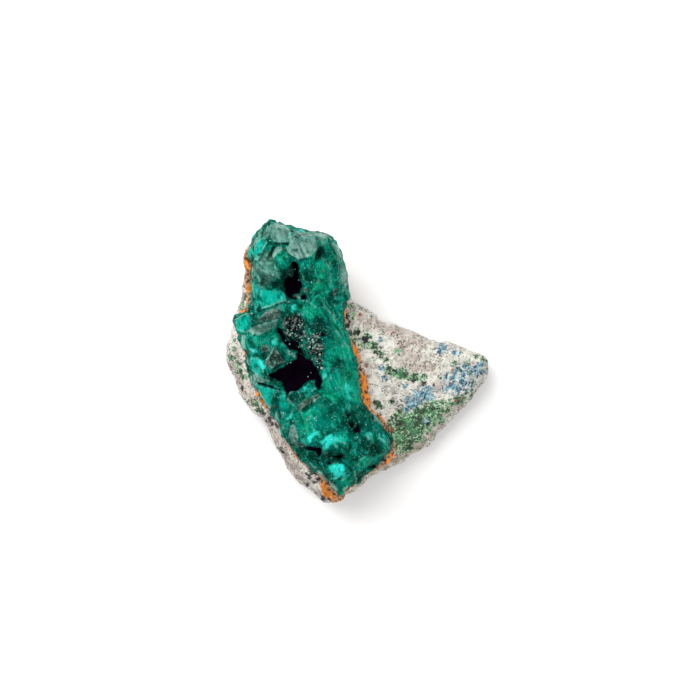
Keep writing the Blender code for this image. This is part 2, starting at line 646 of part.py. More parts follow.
def ridge_core(collection):
    """The grown-together body of the ridge, inside its crystals."""
    contact = smooth_loop(CONTACT_OUTLINE, SEAM_SPOKES)
    inside = [Vector(p[:2]) + inward(contact, i) * CORE_INSET for i, p in enumerate(contact)]
    rings = []
    for share, rise in CORE_STEPS:
        rings.append(ring_inside(inside, RIDGE_CENTRE, share, lambda x, y: seat(x, y) + rise))
    foot = Vector((*RIDGE_CENTRE, rings[0][0].z + CORE_ENDS[0]))
    crown = Vector((*RIDGE_CENTRE, rings[-1][0].z + CORE_ENDS[1]))
    return helper("ridge_core", mesh_of(bridged(rings, foot, crown), "ridge_core"), collection)


def outer_wall(collection):
    """The ridge's outermost reach, which trims the crystals that grew past it."""
    contact = smooth_loop(CONTACT_OUTLINE, WALL_SPOKES)
    into = [inward(contact, i) for i in range(WALL_SPOKES)]
    most, level, upright = WALL_UNEVENNESS
    rings = []
    for inset, height in WALL_STEPS:
        ring = []
        for p, n in zip(contact, into):
            uneven = most * noise.noise(Vector((p.x * level, p.y * level, height * upright)))
            ring.append(Vector((*(Vector(p[:2]) + n * (inset + uneven)), height)))
        rings.append(ring)
    foot = Vector((*RIDGE_CENTRE, WALL_STEPS[0][1]))
    crown = Vector((*RIDGE_CENTRE, WALL_STEPS[-1][1]))
    return helper("outer_wall", mesh_of(bridged(rings, foot, crown), "outer_wall"), collection)


def trimming_block(collection):
    """A block up to just over the seam, which trims the ridge's underside to it."""
    count = int(2 * BLOCK_REACH / BLOCK_STEP) + 1
    bm = bmesh.new()
    rows = []
    for i in range(count):
        x = i * BLOCK_STEP - BLOCK_REACH
        ys = [j * BLOCK_STEP - BLOCK_REACH for j in range(count)]
        rows.append([bm.verts.new(Vector((x, y, seam_top(x, y) + GAP)) * MM) for y in ys])
    for near, far in zip(rows, rows[1:]):
        for j in range(count - 1):
            bm.faces.new((near[j], far[j], far[j + 1], near[j + 1]))
    bmesh.ops.triangulate(bm, faces=bm.faces)
    lowered = bmesh.ops.extrude_face_region(bm, geom=list(bm.faces))["geom"]
    for item in lowered:
        if isinstance(item, bmesh.types.BMVert):
            item.co.z = BLOCK_FOOT * MM
    return helper("trimming_block", mesh_of(bm, "trimming_block"), collection)


def boolean(obj, name, operation, target):
    """A Boolean modifier against one object or a collection of them."""
    modifier = obj.modifiers.new(name, "BOOLEAN")
    modifier.operation = operation
    modifier.solver = "EXACT"
    if isinstance(target, bpy.types.Collection):
        modifier.operand_type = "COLLECTION"
        modifier.collection = target
    else:
        modifier.object = target


def largest_shell(mesh):
    """A copy of a mesh without the sealed gaps and the loose bits beside its largest shell."""
    bm = bmesh.new()
    bm.from_mesh(mesh)
    shells = []
    waiting = set(bm.faces)
    while waiting:
        shell = {waiting.pop()}
        edge_of_shell = list(shell)
        while edge_of_shell:
            face = edge_of_shell.pop()
            for other in (other for edge in face.edges for other in edge.link_faces):
                if other in waiting:
                    waiting.remove(other)
                    shell.add(other)
                    edge_of_shell.append(other)
        shells.append(shell)
    shells.sort(key=len)
    for shell in shells[:-1]:
        bmesh.ops.delete(bm, geom=list(shell), context="FACES")
    return mesh_of(bm, mesh.name)


def make_ridge():
    """All the crystals grown together in one solid, trimmed over the seam, with its open pockets."""
    rng = random.Random(RIDGE_SEED)
    crystals = crystal_collection("main_crystals", MAIN_CRYSTALS, rng)
    seeded = small_crystals([obj.data for obj in crystals.objects], rng)
    for number, crystal in enumerate(seeded):
        name = f"small_{number}"
        helper(name, crystal_mesh(name, crystal, rng), crystals)
    hollows = crystal_collection("hollows", POCKET_HOLLOWS, rng)
    linings = crystal_collection("linings", POCKET_CRYSTALS, rng)
    construction = helper_collection("construction")
    core = ridge_core(construction)
    boolean(core, "grown_together", "UNION", crystals)
    boolean(core, "outer_reach", "INTERSECT", outer_wall(construction))
    boolean(core, "pockets", "DIFFERENCE", hollows)
    boolean(core, "pocket_linings", "UNION", linings)
    boolean(core, "over_the_seam", "DIFFERENCE", trimming_block(construction))
    graph = bpy.context.evaluated_depsgraph_get()
    whole = bpy.data.meshes.new_from_object(core.evaluated_get(graph))
    for collection in (crystals, hollows, linings, construction):
        for obj in list(collection.objects):
            bpy.data.objects.remove(obj)
        bpy.data.collections.remove(collection)
    new_object("dioptase_crystals", largest_shell(whole), CRYSTAL_LOOK)


def centre_footprint(meshes):
    """Moves the specimen level, so that the middle of its footprint is at the origin."""
    points = [v.co for mesh in meshes for v in mesh.vertices]
    shift = Vector((0, 0, 0))
    for axis in (0, 1):
        reach = [p[axis] for p in points]
        shift[axis] = -(min(reach) + max(reach)) / 2
    for mesh in meshes:
        mesh.transform(Matrix.Translation(shift))


def main():
    for obj in list(bpy.data.objects):
        bpy.data.objects.remove(obj)
    make_matrix()
    make_seam()
    make_ridge()
    centre_footprint([obj.data for obj in bpy.context.scene.objects])


main()
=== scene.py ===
"""The looks of a dioptase specimen on matrix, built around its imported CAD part.

Metres, +Z up. The camera looks straight down on the specimen, which lies on its cut back. The lengths
below are millimetres where no comment says otherwise. Places are pixels of the 700 x 700 photograph,
which photo_place() and photo_pixels() turn into places on the specimen and back.
"""

import math

import bmesh
import bpy
import numpy as np
from mathutils import Euler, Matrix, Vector, noise
from mathutils.bvhtree import BVHTree
from mathutils.kdtree import KDTree


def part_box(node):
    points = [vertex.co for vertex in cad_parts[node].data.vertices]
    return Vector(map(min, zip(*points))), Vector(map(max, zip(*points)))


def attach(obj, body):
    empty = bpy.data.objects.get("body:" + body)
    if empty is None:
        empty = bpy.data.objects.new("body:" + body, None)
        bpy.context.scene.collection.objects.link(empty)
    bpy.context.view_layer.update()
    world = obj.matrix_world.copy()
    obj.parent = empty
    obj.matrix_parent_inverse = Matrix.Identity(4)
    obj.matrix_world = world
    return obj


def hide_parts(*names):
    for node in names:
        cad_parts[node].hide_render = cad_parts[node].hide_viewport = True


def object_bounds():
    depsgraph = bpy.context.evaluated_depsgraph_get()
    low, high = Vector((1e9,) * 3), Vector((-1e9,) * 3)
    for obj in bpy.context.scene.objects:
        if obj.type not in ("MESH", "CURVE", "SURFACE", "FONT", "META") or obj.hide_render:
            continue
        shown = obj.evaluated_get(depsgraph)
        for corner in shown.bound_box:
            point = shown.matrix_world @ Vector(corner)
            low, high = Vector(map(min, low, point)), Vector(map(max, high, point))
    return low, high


MM = 0.001
TINY = 1e-9
FAR = 1e9
SEED = 11

# The photograph and the camera.
PIXEL = 0.15  # millimetres of the specimen to a pixel
FOOTPRINT_PIXEL = (357.0, 361.0)  # the pixel that shows the middle of the footprint
FRAME_PIXELS = 700
FRAME_MIDDLE = (350.0, 350.0)
FRAME_WIDTH = FRAME_PIXELS * PIXEL
LENS = 500.0
SENSOR = 36.0
FOCUS_HEIGHT = 5.0  # the height that the scale holds at
NEAREST = 0.01  # the distances between which the camera sees, in metres
FURTHEST = 10.0

# The stage, in metres. The lamps' names, places, widths and powers.
FLOOR_REACH = 1.5
FLOOR_GREY = (0.92, 0.92, 0.92)
SKY_WHITE = (1.0, 1.0, 1.0)
SKY_STRENGTH = 0.8
LAMPS = (
    ("key", (-0.25, 0.30, 0.50), 0.6, 3.6),
    ("sparkle", (0.12, -0.10, 0.60), 0.05, 0.35),
)

# The dense meshes: the size of their cells, and how many times their points are evened out.
CRYSTAL_VOXEL = 0.17
ROCK_VOXEL = 0.2
SEAM_VOXEL = 0.2
CRYSTAL_ROUNDS = 5
ROCK_ROUNDS = 2
WELD = 0.0001
BOX_MARGIN = 0.001
FACET_ANGLE = math.radians(1.5)  # the most that a flat facet's faces differ
SHARP_ANGLE = math.radians(26)

# Noise in the meshes: how far its seed moves it, and what brings it to about -1 to 1.
NOISE_SHIFT = (7.3, 3.1, 5.7)
STREAK_SHIFT = (2.9, 8.1, 4.3)
NOISE_SWING = 1.6

# Each noise's size and seed, and its octaves if they aren't two. Streaks have a level direction, a
# length, a width and a seed.
RIM_NOISE = (0.9, 2)
BREAK_NOISE = (0.4, 31)
FLOW_NOISE = (2.6, 12)
EDDY_NOISE = (1.0, 13)
SWELL_NOISE = (1.8, 3, 3)
CRUST_NOISE = (0.8, 6)
SEAM_NOISE = (0.8, 8)
STAIN_NOISE = (0.6, 9)
SEAM_WALL_NOISE = (0.9, 29)
RIDGE_STREAKS = ((0.33, -0.94), 3.2, 0.35, 1)
WEDGE_STREAKS = ((0.87, 0.50), 4.0, 0.7, 4)

# The relief. Two sizes of small facets have a spacing and a tilt in degrees.
LARGE_FACETS = (1.6, 5.0)
SMALL_FACETS = (0.7, 4.0)
SMALL_SHARE = 0.7
FACET_RIVALS = 4  # how many of the nearest facets a point is tried on
FACET_HOLD = 0.8  # what keeps each facet round its own seed
STREAK_DEPTH = 0.02
GRAIN_SIZES = (0.7, 1.1)
GRAIN_REACH = 0.85  # a grain's radius, as a share of the grains' spacing
GRAIN_SPACING = 0.42
GRAIN_HEIGHT = 0.18
CLUMP_SPACING = 1.0
CLUMP_HEIGHT = 0.16
SWELL_HEIGHT = 0.14
ROCK_SINK = 0.22
FOOT_HEIGHT = 0.5  # the rock's relief fades out below it, down to the flat back
CRUMB_SPACING = 0.35
CRUMB_HEIGHT = 0.14
SEAM_SWELL = 0.10
SEAM_LIFT = 0.08

# The masks. A crystal's face shows them in full where its direction is a quarter up or more. The
# rock and the seam are wall below WALL_TILT, and open to the sky from SKY_RANGE above it.
UP_GAIN = 4
WALL_TILT = 0.05
SKY_RANGE = 0.2
SPOT_FULL = 1.25  # a spot fades from a quarter of its radius to a quarter past it
SPOT_SWAY = 0.5
EDGE_BEND = 0.14
EDGE_GAIN = 3
CREASE_BEND = 0.08
CREASE_GAIN = 7
TONE_LEVEL = 0.35

# Noise in the materials: the ends between which it mostly lies.
NOISE_LOW = 0.3
NOISE_HIGH = 0.7
DRIFT_LOW = 0.35
DRIFT_HIGH = 0.65

# A sparkle is a six-sided crystal. Its waist and shoulders are shares of its reach.
SIDES = 6
WAIST = 0.75
SHOULDER = 0.45
RAY_HEIGHT = 0.1  # the height in metres that its place is looked for from

# Patches of the crystals, as corners in the photograph. Open hollows, painted near-black as shade:
PIT_SHADES = (
    # the upper lobe's open pocket
    (293, 261, 297.5, 262, 298.6, 268, 299, 272, 300, 277, 301, 281, 302, 285, 300.6, 290, 300.4, 294.4,
     298, 293.8, 294.4, 294, 293.6, 295.6, 296, 297, 298, 299, 296, 300, 292, 299, 288, 297, 285.5, 293,
     284, 288, 284.5, 281, 286, 278, 288, 275.5, 291, 277.5, 293.4, 276, 294, 270, 291.5, 266),
    (301.6, 295.6, 304, 294.2, 306, 294.4, 307.5, 297, 307.2, 299.6, 304, 300.4, 301.6, 299.6),
    # the slit in the grey glass and the gap above it
    (293, 250.6, 297.8, 250, 298, 251.4, 294, 252.2),
    (272, 243.4, 284, 243.8, 288.4, 242.6, 287.4, 245.8, 284, 245.6, 274, 245),
    # the vug
    (277, 327, 281, 327.5, 284, 333, 287, 338, 291, 342, 297, 345, 302, 349, 303, 354, 299, 353, 294, 351,
     288, 349, 284.5, 344, 280.5, 338, 277, 333),
    (290, 318, 297, 313, 300, 320, 302, 327, 302, 336, 300, 346, 296, 347, 290, 343, 286, 336, 288, 328),
    # the hole in the right shoulder
    (318, 333, 326, 333, 326, 336, 320, 337, 315, 334),
    # the lower lobe's open pocket, and the gap at its left
    (298, 352, 306, 357, 311, 358, 315, 365, 319, 370, 321, 375, 323, 380, 320.5, 390, 318, 391, 315, 386,
     315, 380, 309, 380, 304, 385, 298, 390, 290, 392, 287, 396, 285, 390, 282, 383, 276, 379, 268, 375.5,
     275, 371, 283, 367, 288, 364, 293, 359, 297, 358, 296, 354),
    (257.6, 381.4, 262, 382.6, 268, 384, 275, 386.4, 281.4, 388.6, 281, 390.4, 275, 389, 267, 386.4,
     260, 384.4),
    # small holes in the belly and along its foot
    (345.8, 413.4, 348, 412.6, 351, 414.6, 349.4, 417, 347.6, 418, 346, 416),
    (352.6, 429.6, 356, 427, 357.4, 423.4, 359, 424.5, 361.4, 429, 360, 433, 355, 432),
    (331, 455, 337, 454, 342, 455, 341, 458, 333, 458),
    (327, 461, 330, 460.4, 331, 463, 328, 464),
    (303, 446.6, 310, 445.6, 316, 447, 322, 447, 322, 452, 319, 458, 316, 451, 308, 450),
    (371, 466, 375, 464, 377, 466.6, 373, 469),
    (381, 460, 386, 457, 393, 451, 394, 452, 387, 459),
)

# Dark green, in creases and where a crystal is deep and clear.
SHADES = (
    (301, 270, 309, 271, 313, 279, 309, 283, 303, 280, 300, 276),
    (271, 278, 276, 280, 283, 284, 284, 289, 278, 289, 272, 285),
    (330, 290, 334, 287, 337, 284, 336, 291, 331, 299, 329, 296),
    (281, 272, 287, 271, 285, 279, 282, 277),
    (316.6, 240, 320, 242, 322, 250, 317, 249),
    (311, 322, 320, 318, 328, 323, 328, 334, 318, 335, 311, 331),
    (334, 358, 341, 358, 342, 366, 337, 368, 333, 363),
    (347, 371, 350, 371, 352, 380, 349, 382),
    (290, 312, 299, 311, 300, 322, 289, 326),
    (352, 358, 356, 359, 357, 367, 353, 366),
    (273, 399, 277, 392, 280, 392, 279, 410, 275, 409),
    (287, 398, 292, 394, 300, 393, 309, 391, 310, 394, 300, 400, 294, 403, 288, 401),
    (244, 356, 247, 362, 249, 371, 246, 369),
    (264, 350, 269, 354, 267, 360, 262, 357),
    (340, 418, 352, 414, 364, 420, 364, 434, 350, 432, 341, 427),
    (322, 398, 329, 400, 335, 410, 330, 411),
    (360, 432, 367, 436, 368, 449, 358, 449, 357, 440),
    (342, 446, 350, 446, 351, 451, 343, 450),
    (350, 455, 357, 455, 357, 461, 351, 460),
    (325, 452, 343, 452, 344, 461, 328, 463),
    (300, 450, 318, 452, 318, 462, 306, 457),
    (366, 466, 378, 460, 390, 452, 392, 456, 380, 466, 370, 472),
    (386, 436, 392, 442, 393, 450, 388, 448),
    (328, 296, 331, 296, 334, 303, 330, 303),
    (366, 440, 379, 440, 384, 451, 372, 457, 364, 452),
    (352, 477, 362, 470, 370, 472, 362, 482, 351, 489),
)

# Lighter, clear green.
LIGHTS = (
    (312, 259, 318, 254, 324, 258, 330, 266, 332, 276, 333, 290, 325, 296, 316, 296, 310, 290, 312, 283,
     311, 276),
    (322, 236, 327, 237, 333, 246, 331, 254, 326, 250),
    (277, 250, 284, 252, 290, 262, 290, 270, 283, 271, 277, 266),
    (341, 290, 348, 290, 350, 297, 342, 299),
    (272, 340, 277, 339, 285, 343.5, 285.5, 349, 281, 348, 276, 346),
    (247, 335, 253, 333, 258, 337, 261, 343, 256, 347, 248, 349, 246, 343),
    (303, 306, 328, 306, 329, 318, 312, 319, 303, 320),
    (325, 342, 340, 338, 348, 345, 352, 356, 345, 358, 338, 355, 330, 358, 326, 352),
    (323, 378, 334, 376, 345, 380, 346, 398, 330, 402, 322, 396),
    (299, 404, 313, 402, 316, 412, 313, 428, 304, 441, 298, 424),
    (331, 318, 342, 324, 351, 344, 358, 362, 363, 388, 364, 402, 352, 406, 346, 385, 342, 360, 334, 340),
    (354, 360, 359, 364, 361, 380, 358, 396, 353, 384),
    (378, 432, 386, 440, 391, 449, 386, 453, 376, 446),
    (340, 478, 352, 474, 360, 476, 352, 488, 341, 492),
    (352, 462, 366, 456, 378, 452, 370, 464, 358, 470),
)

# Bright turquoise, where light comes back out of the crystal.
GLOWS = (
    (262, 238, 267, 243, 266, 247, 262, 251, 260, 258, 256, 260, 254, 256, 253, 250, 256, 245),
    (269, 246, 273.5, 245.5, 273, 249, 270.5, 252, 268.6, 250),
    (299, 229.5, 303, 230, 308, 234, 303, 235, 297, 232.5),
    (250, 247, 253, 251, 250, 258, 246, 256, 247, 251),
    (253, 280, 256, 284, 258, 292, 259, 308, 256, 309, 254, 300, 252.5, 288),
    (262, 290, 270, 291, 281, 291, 286, 293, 286, 299, 280, 301, 270, 306, 262, 309, 259, 300),
    (291, 306, 296, 305, 297, 310, 292, 311),
    (236, 320, 240, 317.5, 248, 314, 252, 318, 252, 323, 249, 330, 243, 332, 236, 329, 234.6, 325),
    (251, 357, 256, 357, 261, 360, 264, 366, 264, 372, 262, 377, 256, 374, 251, 370, 249, 363),
    (272, 342, 277, 341, 285, 344, 286, 346, 283, 350, 276, 346),
    (256, 386, 262, 386, 271, 387, 276, 389, 273, 397, 271, 408, 268, 408, 263, 400, 259, 391),
    (281, 391, 285, 391, 286, 398, 292, 404, 295, 407, 292, 416, 289, 420, 283, 418, 279, 408, 279, 398),
    (300, 390, 306, 384, 312, 380, 315, 385, 314, 391, 307, 392),
    (306, 336, 317, 335, 318, 341, 308, 343),
    (322, 372, 325, 367, 329, 368, 327, 376, 323, 379),
    (345, 384, 350, 384, 352, 398, 347, 398),
    (305, 436, 310, 438, 314, 432, 320, 430, 320, 435, 315, 438, 311, 442, 306, 440),
    (321, 441, 325, 437, 330, 434, 337, 434, 346, 439, 346, 444, 338, 441, 334, 444, 327, 448, 328, 457,
     325, 458, 323, 448),
    (331, 464, 344, 463, 346, 468, 343, 471, 337, 472, 339, 478, 334, 478, 330, 469),
    (344, 472, 350, 473, 348, 480, 341, 480),
    (365, 433, 373, 431, 374.6, 436, 368, 440),
    (377, 433, 384, 433, 389, 440, 389, 448, 384, 442),
    (363, 474, 367, 470, 374, 469, 376, 471, 370, 475, 365, 477),
)

# The brightest parts of them.
CORES = (
    (281, 294, 286, 294, 285, 299, 281, 299),
    (260, 358, 263, 362, 264.5, 368, 262.5, 369, 260.5, 363),
    (249, 349, 256, 348, 258, 352, 252, 354),
    (302, 387, 307, 385, 308, 389, 303, 390),
    (321, 441, 325, 438, 330, 435, 337, 435, 337, 439, 331, 444, 325, 447, 322, 445),
    (330, 463.4, 344, 462.6, 346, 468, 342, 472, 339, 477, 335, 476, 331, 469),
    (307, 437, 312, 434, 318, 431, 314, 437, 310, 441),
    (292, 306, 295, 306, 295, 309, 292, 310),
)

# Grey faces with a painted grey sheen where they catch the light; they are also made rougher, as frosted.
FROSTED_SHEENS = (
    # the back plate, and the pale triangle at its left
    (270, 226, 274, 224, 280, 222.5, 284, 226, 290, 230, 291, 234, 289, 239, 288, 243, 280, 243.5, 275, 242,
     271, 238, 270, 232),
    (268, 226, 266, 231, 263, 236, 265, 240, 269, 236, 269.4, 230),
    # the grey glass
    (290, 236, 300, 240, 311, 238, 315, 239, 318, 248, 316, 252, 312, 256, 306, 258, 300, 260, 299, 262,
     296, 258, 288, 254, 285.5, 249, 289, 246, 289, 240),
    # the sliver along the left face
    (275, 248.6, 281, 247, 284, 249, 278, 254, 273, 261, 271, 259),
    # the right edge
    (342, 268, 348, 264, 350, 272, 350, 284, 345, 286, 341, 280),
    (331, 242, 337, 246, 343, 256, 341, 259, 335, 252),
    (316, 234, 325, 232.6, 329, 238, 324, 240, 319, 238),
    (257, 238, 261, 230, 263, 230, 262, 236, 256, 246, 253, 246),
    (296, 232, 312, 234, 311, 237, 300, 239, 293, 236),
    # the wedge below the upper lobe
    (249, 331, 253, 327, 262, 324, 272, 321, 278, 320, 277, 325, 270, 331, 260, 334, 252, 333),
    (242, 336, 246.5, 335, 245.5, 340, 245, 345, 247, 350.5, 243.5, 348.5, 241.8, 341),
    (287, 349.5, 290, 350, 294, 354, 297.4, 357, 296, 359, 291, 355.5, 288, 352.5),
    (250, 377, 256, 373, 262, 378, 270, 381, 266, 382.6, 258, 382, 256, 386, 252, 384),
    (291, 424, 295, 424, 298, 432, 298, 441, 292, 443, 289, 436),
    (317, 470, 321, 471, 327, 479, 334, 483, 338, 489, 337, 494, 333, 490, 327, 484, 320, 477),
    (344, 487, 352, 486, 350, 490, 343, 492),
)

# Softer grey haze: more painted grey sheen.
SOFT_SHEENS = (
    (259, 257, 266, 252, 272, 251, 271, 258, 276, 268, 278, 275, 275, 280, 268, 284, 262, 288, 257, 284,
     254, 275, 254, 264),
    (337, 252, 344, 258, 350, 272, 350, 292, 344, 290, 340, 272),
    (306, 226, 318, 232, 330, 240, 322, 244, 312, 238),
)

# The wedge below the upper lobe, which is streaked along its own length.
WEDGES = (
    (249, 331, 253, 327, 259, 318, 266, 312, 276, 308, 281, 307, 281, 316, 277, 325, 270, 331, 260, 334,
     252, 333),
)

# Smooth, clear faces.
CALMS = (
    (294, 404, 306, 399, 322, 398, 340, 404, 344, 420, 338, 432, 320, 431, 304, 440, 296, 424),
    (330, 318, 342, 324, 352, 346, 360, 364, 364, 400, 346, 404, 328, 398, 324, 376, 328, 344),
    (256, 386, 271, 387, 292, 391, 297, 408, 290, 420, 281, 418, 271, 408, 262, 400),
    (256, 288, 286, 291, 286, 300, 262, 312, 256, 306),
    (234, 320, 248, 314, 253, 320, 250, 333, 236, 330),
    (340, 474, 356, 470, 362, 480, 348, 492, 338, 492),
)

# Smoky dark grey faces.
SMOKES = (
    (257, 323, 259, 318, 266, 312, 276, 308, 281, 307, 281, 316, 278, 320, 270, 321, 262, 323),
    (275, 346.5, 280, 353, 286, 362, 279, 365.5, 272, 369, 264.5, 363, 269, 355),
    (262, 346, 268, 344, 271, 350, 266, 353, 261, 351),
    (289.6, 268, 293.6, 268.6, 293, 276, 291, 277, 289.4, 275),
    (294.4, 294.4, 298, 294.2, 300.4, 296.6, 300, 299.6, 298, 298.8, 296, 296.8),
    (302, 289, 309, 289, 308, 295, 304, 292, 302, 294),
    (334, 289, 339, 288, 338, 296, 334, 297),
    (296, 408, 300, 403, 306, 399, 312, 396, 318, 393, 320, 397, 315, 402, 308, 405, 300, 410),
    (305, 376, 310, 375, 311, 380, 305, 381),
    (282, 318, 286, 320, 287, 327, 283, 328),
    (275, 412, 279, 412, 279, 420, 276, 419),
    (292, 441, 303, 442, 306, 447, 298, 447),
    (374, 414, 379, 418, 378, 423, 374, 421),
    (388, 436, 392, 441, 393, 449, 390, 447),
)

# Glassy hollows full of small clear crystals, painted as grey and white glints over near-black painted shade.
VUGS = (
    (285, 319, 300, 314, 304, 328, 304, 346, 298, 344, 290, 338, 284, 329),
    (303, 334, 318, 334, 323, 344, 322, 368, 314, 364, 308, 352),
)

# Thin lines of painted highlight along edges, and of painted shade in creases, as points in the photograph.
HIGHLIGHT_LINES = (
    (243.5, 336, 244, 347), (244.8, 336, 245.2, 346), (275, 347, 265.5, 362), (284, 301, 289, 302, 292, 303),
    (302, 301.6, 308, 301), (294, 231, 297, 233, 300, 234), (264, 308, 271, 306, 280, 302, 286, 300),
    (310, 303, 313, 305, 316, 308), (253, 268, 252.6, 278, 253, 290), (333, 244, 338, 250, 341, 257),
    (322, 258, 326, 263, 330, 270), (274, 263, 276, 269, 278, 275), (330, 275, 332, 285),
    (290, 237, 291, 243, 289, 247), (271, 238, 275, 241.6, 280, 243), (267, 243, 262, 251, 259, 259),
    (300, 239, 307, 238, 315, 238), (235, 320, 240, 317, 247, 314), (241, 331, 246, 333, 250, 330),
    (242, 336, 241.8, 345, 244, 351, 247, 358, 249, 366), (258, 358, 263, 364, 264, 372),
    (250, 333, 261, 333.6, 276, 326), (250, 372, 258, 377, 270, 381), (324, 304, 331, 313, 336, 322),
    (333, 313, 336, 317, 338, 321), (336, 331, 344, 341, 349, 349), (305, 421, 308, 418.6, 311, 415.5),
    (325, 445, 333, 441, 337, 438), (333, 441, 335, 444, 337, 447), (339, 440, 343, 441.4, 346, 444),
    (317, 470, 323, 475, 328, 481, 337, 491), (379, 437, 385, 442, 390, 449),
    (365, 404, 371, 410, 378, 419, 386, 428), (310, 462, 313, 465, 316, 468), (280, 437, 290, 447, 299, 457),
    (286, 391, 288, 399, 294, 405), (256, 387, 262, 397, 269, 408), (290, 393, 294, 390, 298, 390),
    (268, 354, 266, 362, 266, 367), (303, 357, 298, 350, 296, 346), (357, 466, 362, 459, 366, 456),
    (354, 470, 357, 480, 355, 486),
)
SHADE_LINES = (
    (252, 327, 262, 322.6, 278, 318.6), (287, 362.5, 279, 366, 272, 369.5),
    (275.6, 347, 281, 354, 286.5, 362), (283, 249, 289, 254.6, 294, 258.6, 297, 262),
    (300, 261, 305, 259, 311, 259.6), (318, 240, 319.6, 250, 314, 256), (266, 250.6, 262, 258, 258.6, 262),
    (262, 240, 266, 243, 268, 238), (277, 246.6, 271, 253, 268, 258), (285, 301.6, 271, 308, 258, 311),
    (249, 333, 248, 326, 253, 320), (246, 351, 249, 357, 251, 371, 258, 378.6),
    (257, 348, 262, 352, 266, 362), (286, 330, 277, 336, 271, 340), (320, 306, 326, 315, 332, 322, 341, 333),
    (344, 309, 345, 320, 349, 334, 353, 346), (272, 388, 274, 398, 272, 409),
    (278, 392, 279, 404, 281, 416, 289, 422), (291, 422, 289, 432, 291, 444), (293, 444, 303, 445),
    (355, 415, 356, 422), (363, 404, 369, 412, 376, 422, 386, 432), (340, 495, 352, 489, 362, 481, 374, 472),
    (318, 459, 320, 468, 328, 477, 338, 487), (326, 441, 321, 447), (345, 463, 350, 470, 352, 478),
    (347, 400, 357, 405, 363, 412), (309, 270, 313, 279, 312, 290), (253, 259, 253, 268),
    (291, 231, 300, 236, 312, 234),
)

# Sparkles, small pale crystals whose colour is a painted glint: the pixel and the radius in pixels.
SPARKLES = (
    (277.4, 237.8, 1.0), (270.6, 241.2, 0.9), (274.7, 272.3, 1.0), (290.3, 274.4, 0.8), (295.4, 269.8, 0.9),
    (317.5, 257.6, 1.5), (305.2, 268.6, 1.1), (313.8, 267.3, 0.8), (311.9, 282.8, 1.0), (310.8, 292.6, 1.1),
    (261.7, 292, 1.0), (324.5, 298.5, 0.9), (349.4, 286.3, 0.6), (299, 280.6, 0.9), (271.6, 287.4, 0.6),
    (268.5, 286.5, 0.6), (262.5, 287.4, 0.6), (275.3, 362.2, 1.0), (287.8, 363.3, 1.0), (291, 362.5, 1.1),
    (299.5, 325, 1.3), (294, 326.5, 1.3), (309.2, 338.8, 1.3), (288, 330, 1.0), (292.5, 333, 0.9),
    (295.5, 334, 0.8), (302, 340, 1.4), (317.5, 361.5, 1.0), (312.5, 359, 0.8), (318, 367, 0.9),
    (316, 345, 1.2), (313, 348, 1.0), (319.5, 355, 1.0), (298.5, 392.5, 1.2), (315.3, 388.5, 0.8),
    (278.2, 382.5, 0.8), (268.5, 373.8, 0.7), (311.2, 372.5, 0.7), (308.3, 376.6, 0.9), (252.5, 313.8, 1.2),
    (252, 350, 1.3), (254.6, 351, 1.0), (310.5, 328.4, 0.7), (322.5, 339.5, 0.6), (324, 343.5, 0.6),
    (326.3, 330.3, 0.7), (334.5, 337, 0.5), (293.4, 420.5, 0.9), (295.5, 427.5, 0.7), (305, 433, 0.9),
    (315, 418, 1.3), (316.4, 420, 1.0), (311, 422.5, 0.8), (313, 424, 0.8), (310, 419, 0.7),
    (308.7, 425.7, 0.6), (320.3, 396.6, 0.8), (331.7, 403.8, 0.8), (332.3, 417, 0.8), (335, 415.7, 0.7),
    (314.5, 429.5, 0.9), (318.3, 432, 0.7), (302.5, 446, 0.5), (368, 436, 1.3), (370.5, 434, 1.0),
    (379, 434, 0.7), (382.5, 435.5, 0.7), (376.8, 435.5, 0.6), (366, 424, 0.9), (357.5, 436.5, 0.8),
    (332, 439, 1.2), (329.5, 437, 1.0), (336, 435.5, 0.8), (342, 438, 0.8), (345, 442, 0.8),
    (359, 455.5, 0.8), (362.5, 455, 0.7), (350.5, 452, 0.5), (342.8, 452, 0.5), (324.4, 431.5, 0.6),
    (337.3, 470.5, 0.8), (334, 474, 0.8), (305.5, 422.5, 0.6), (323, 441, 0.9), (326, 444, 0.7),
    (289, 301.8, 0.8), (304, 301.4, 0.9), (307, 301.2, 0.7), (293.5, 307, 0.9), (289.5, 351.5, 1.1),
    (292.5, 354, 1.2), (295, 356.5, 1.0), (290, 344, 0.8), (286, 340.5, 0.7), (299, 347, 0.8),
)

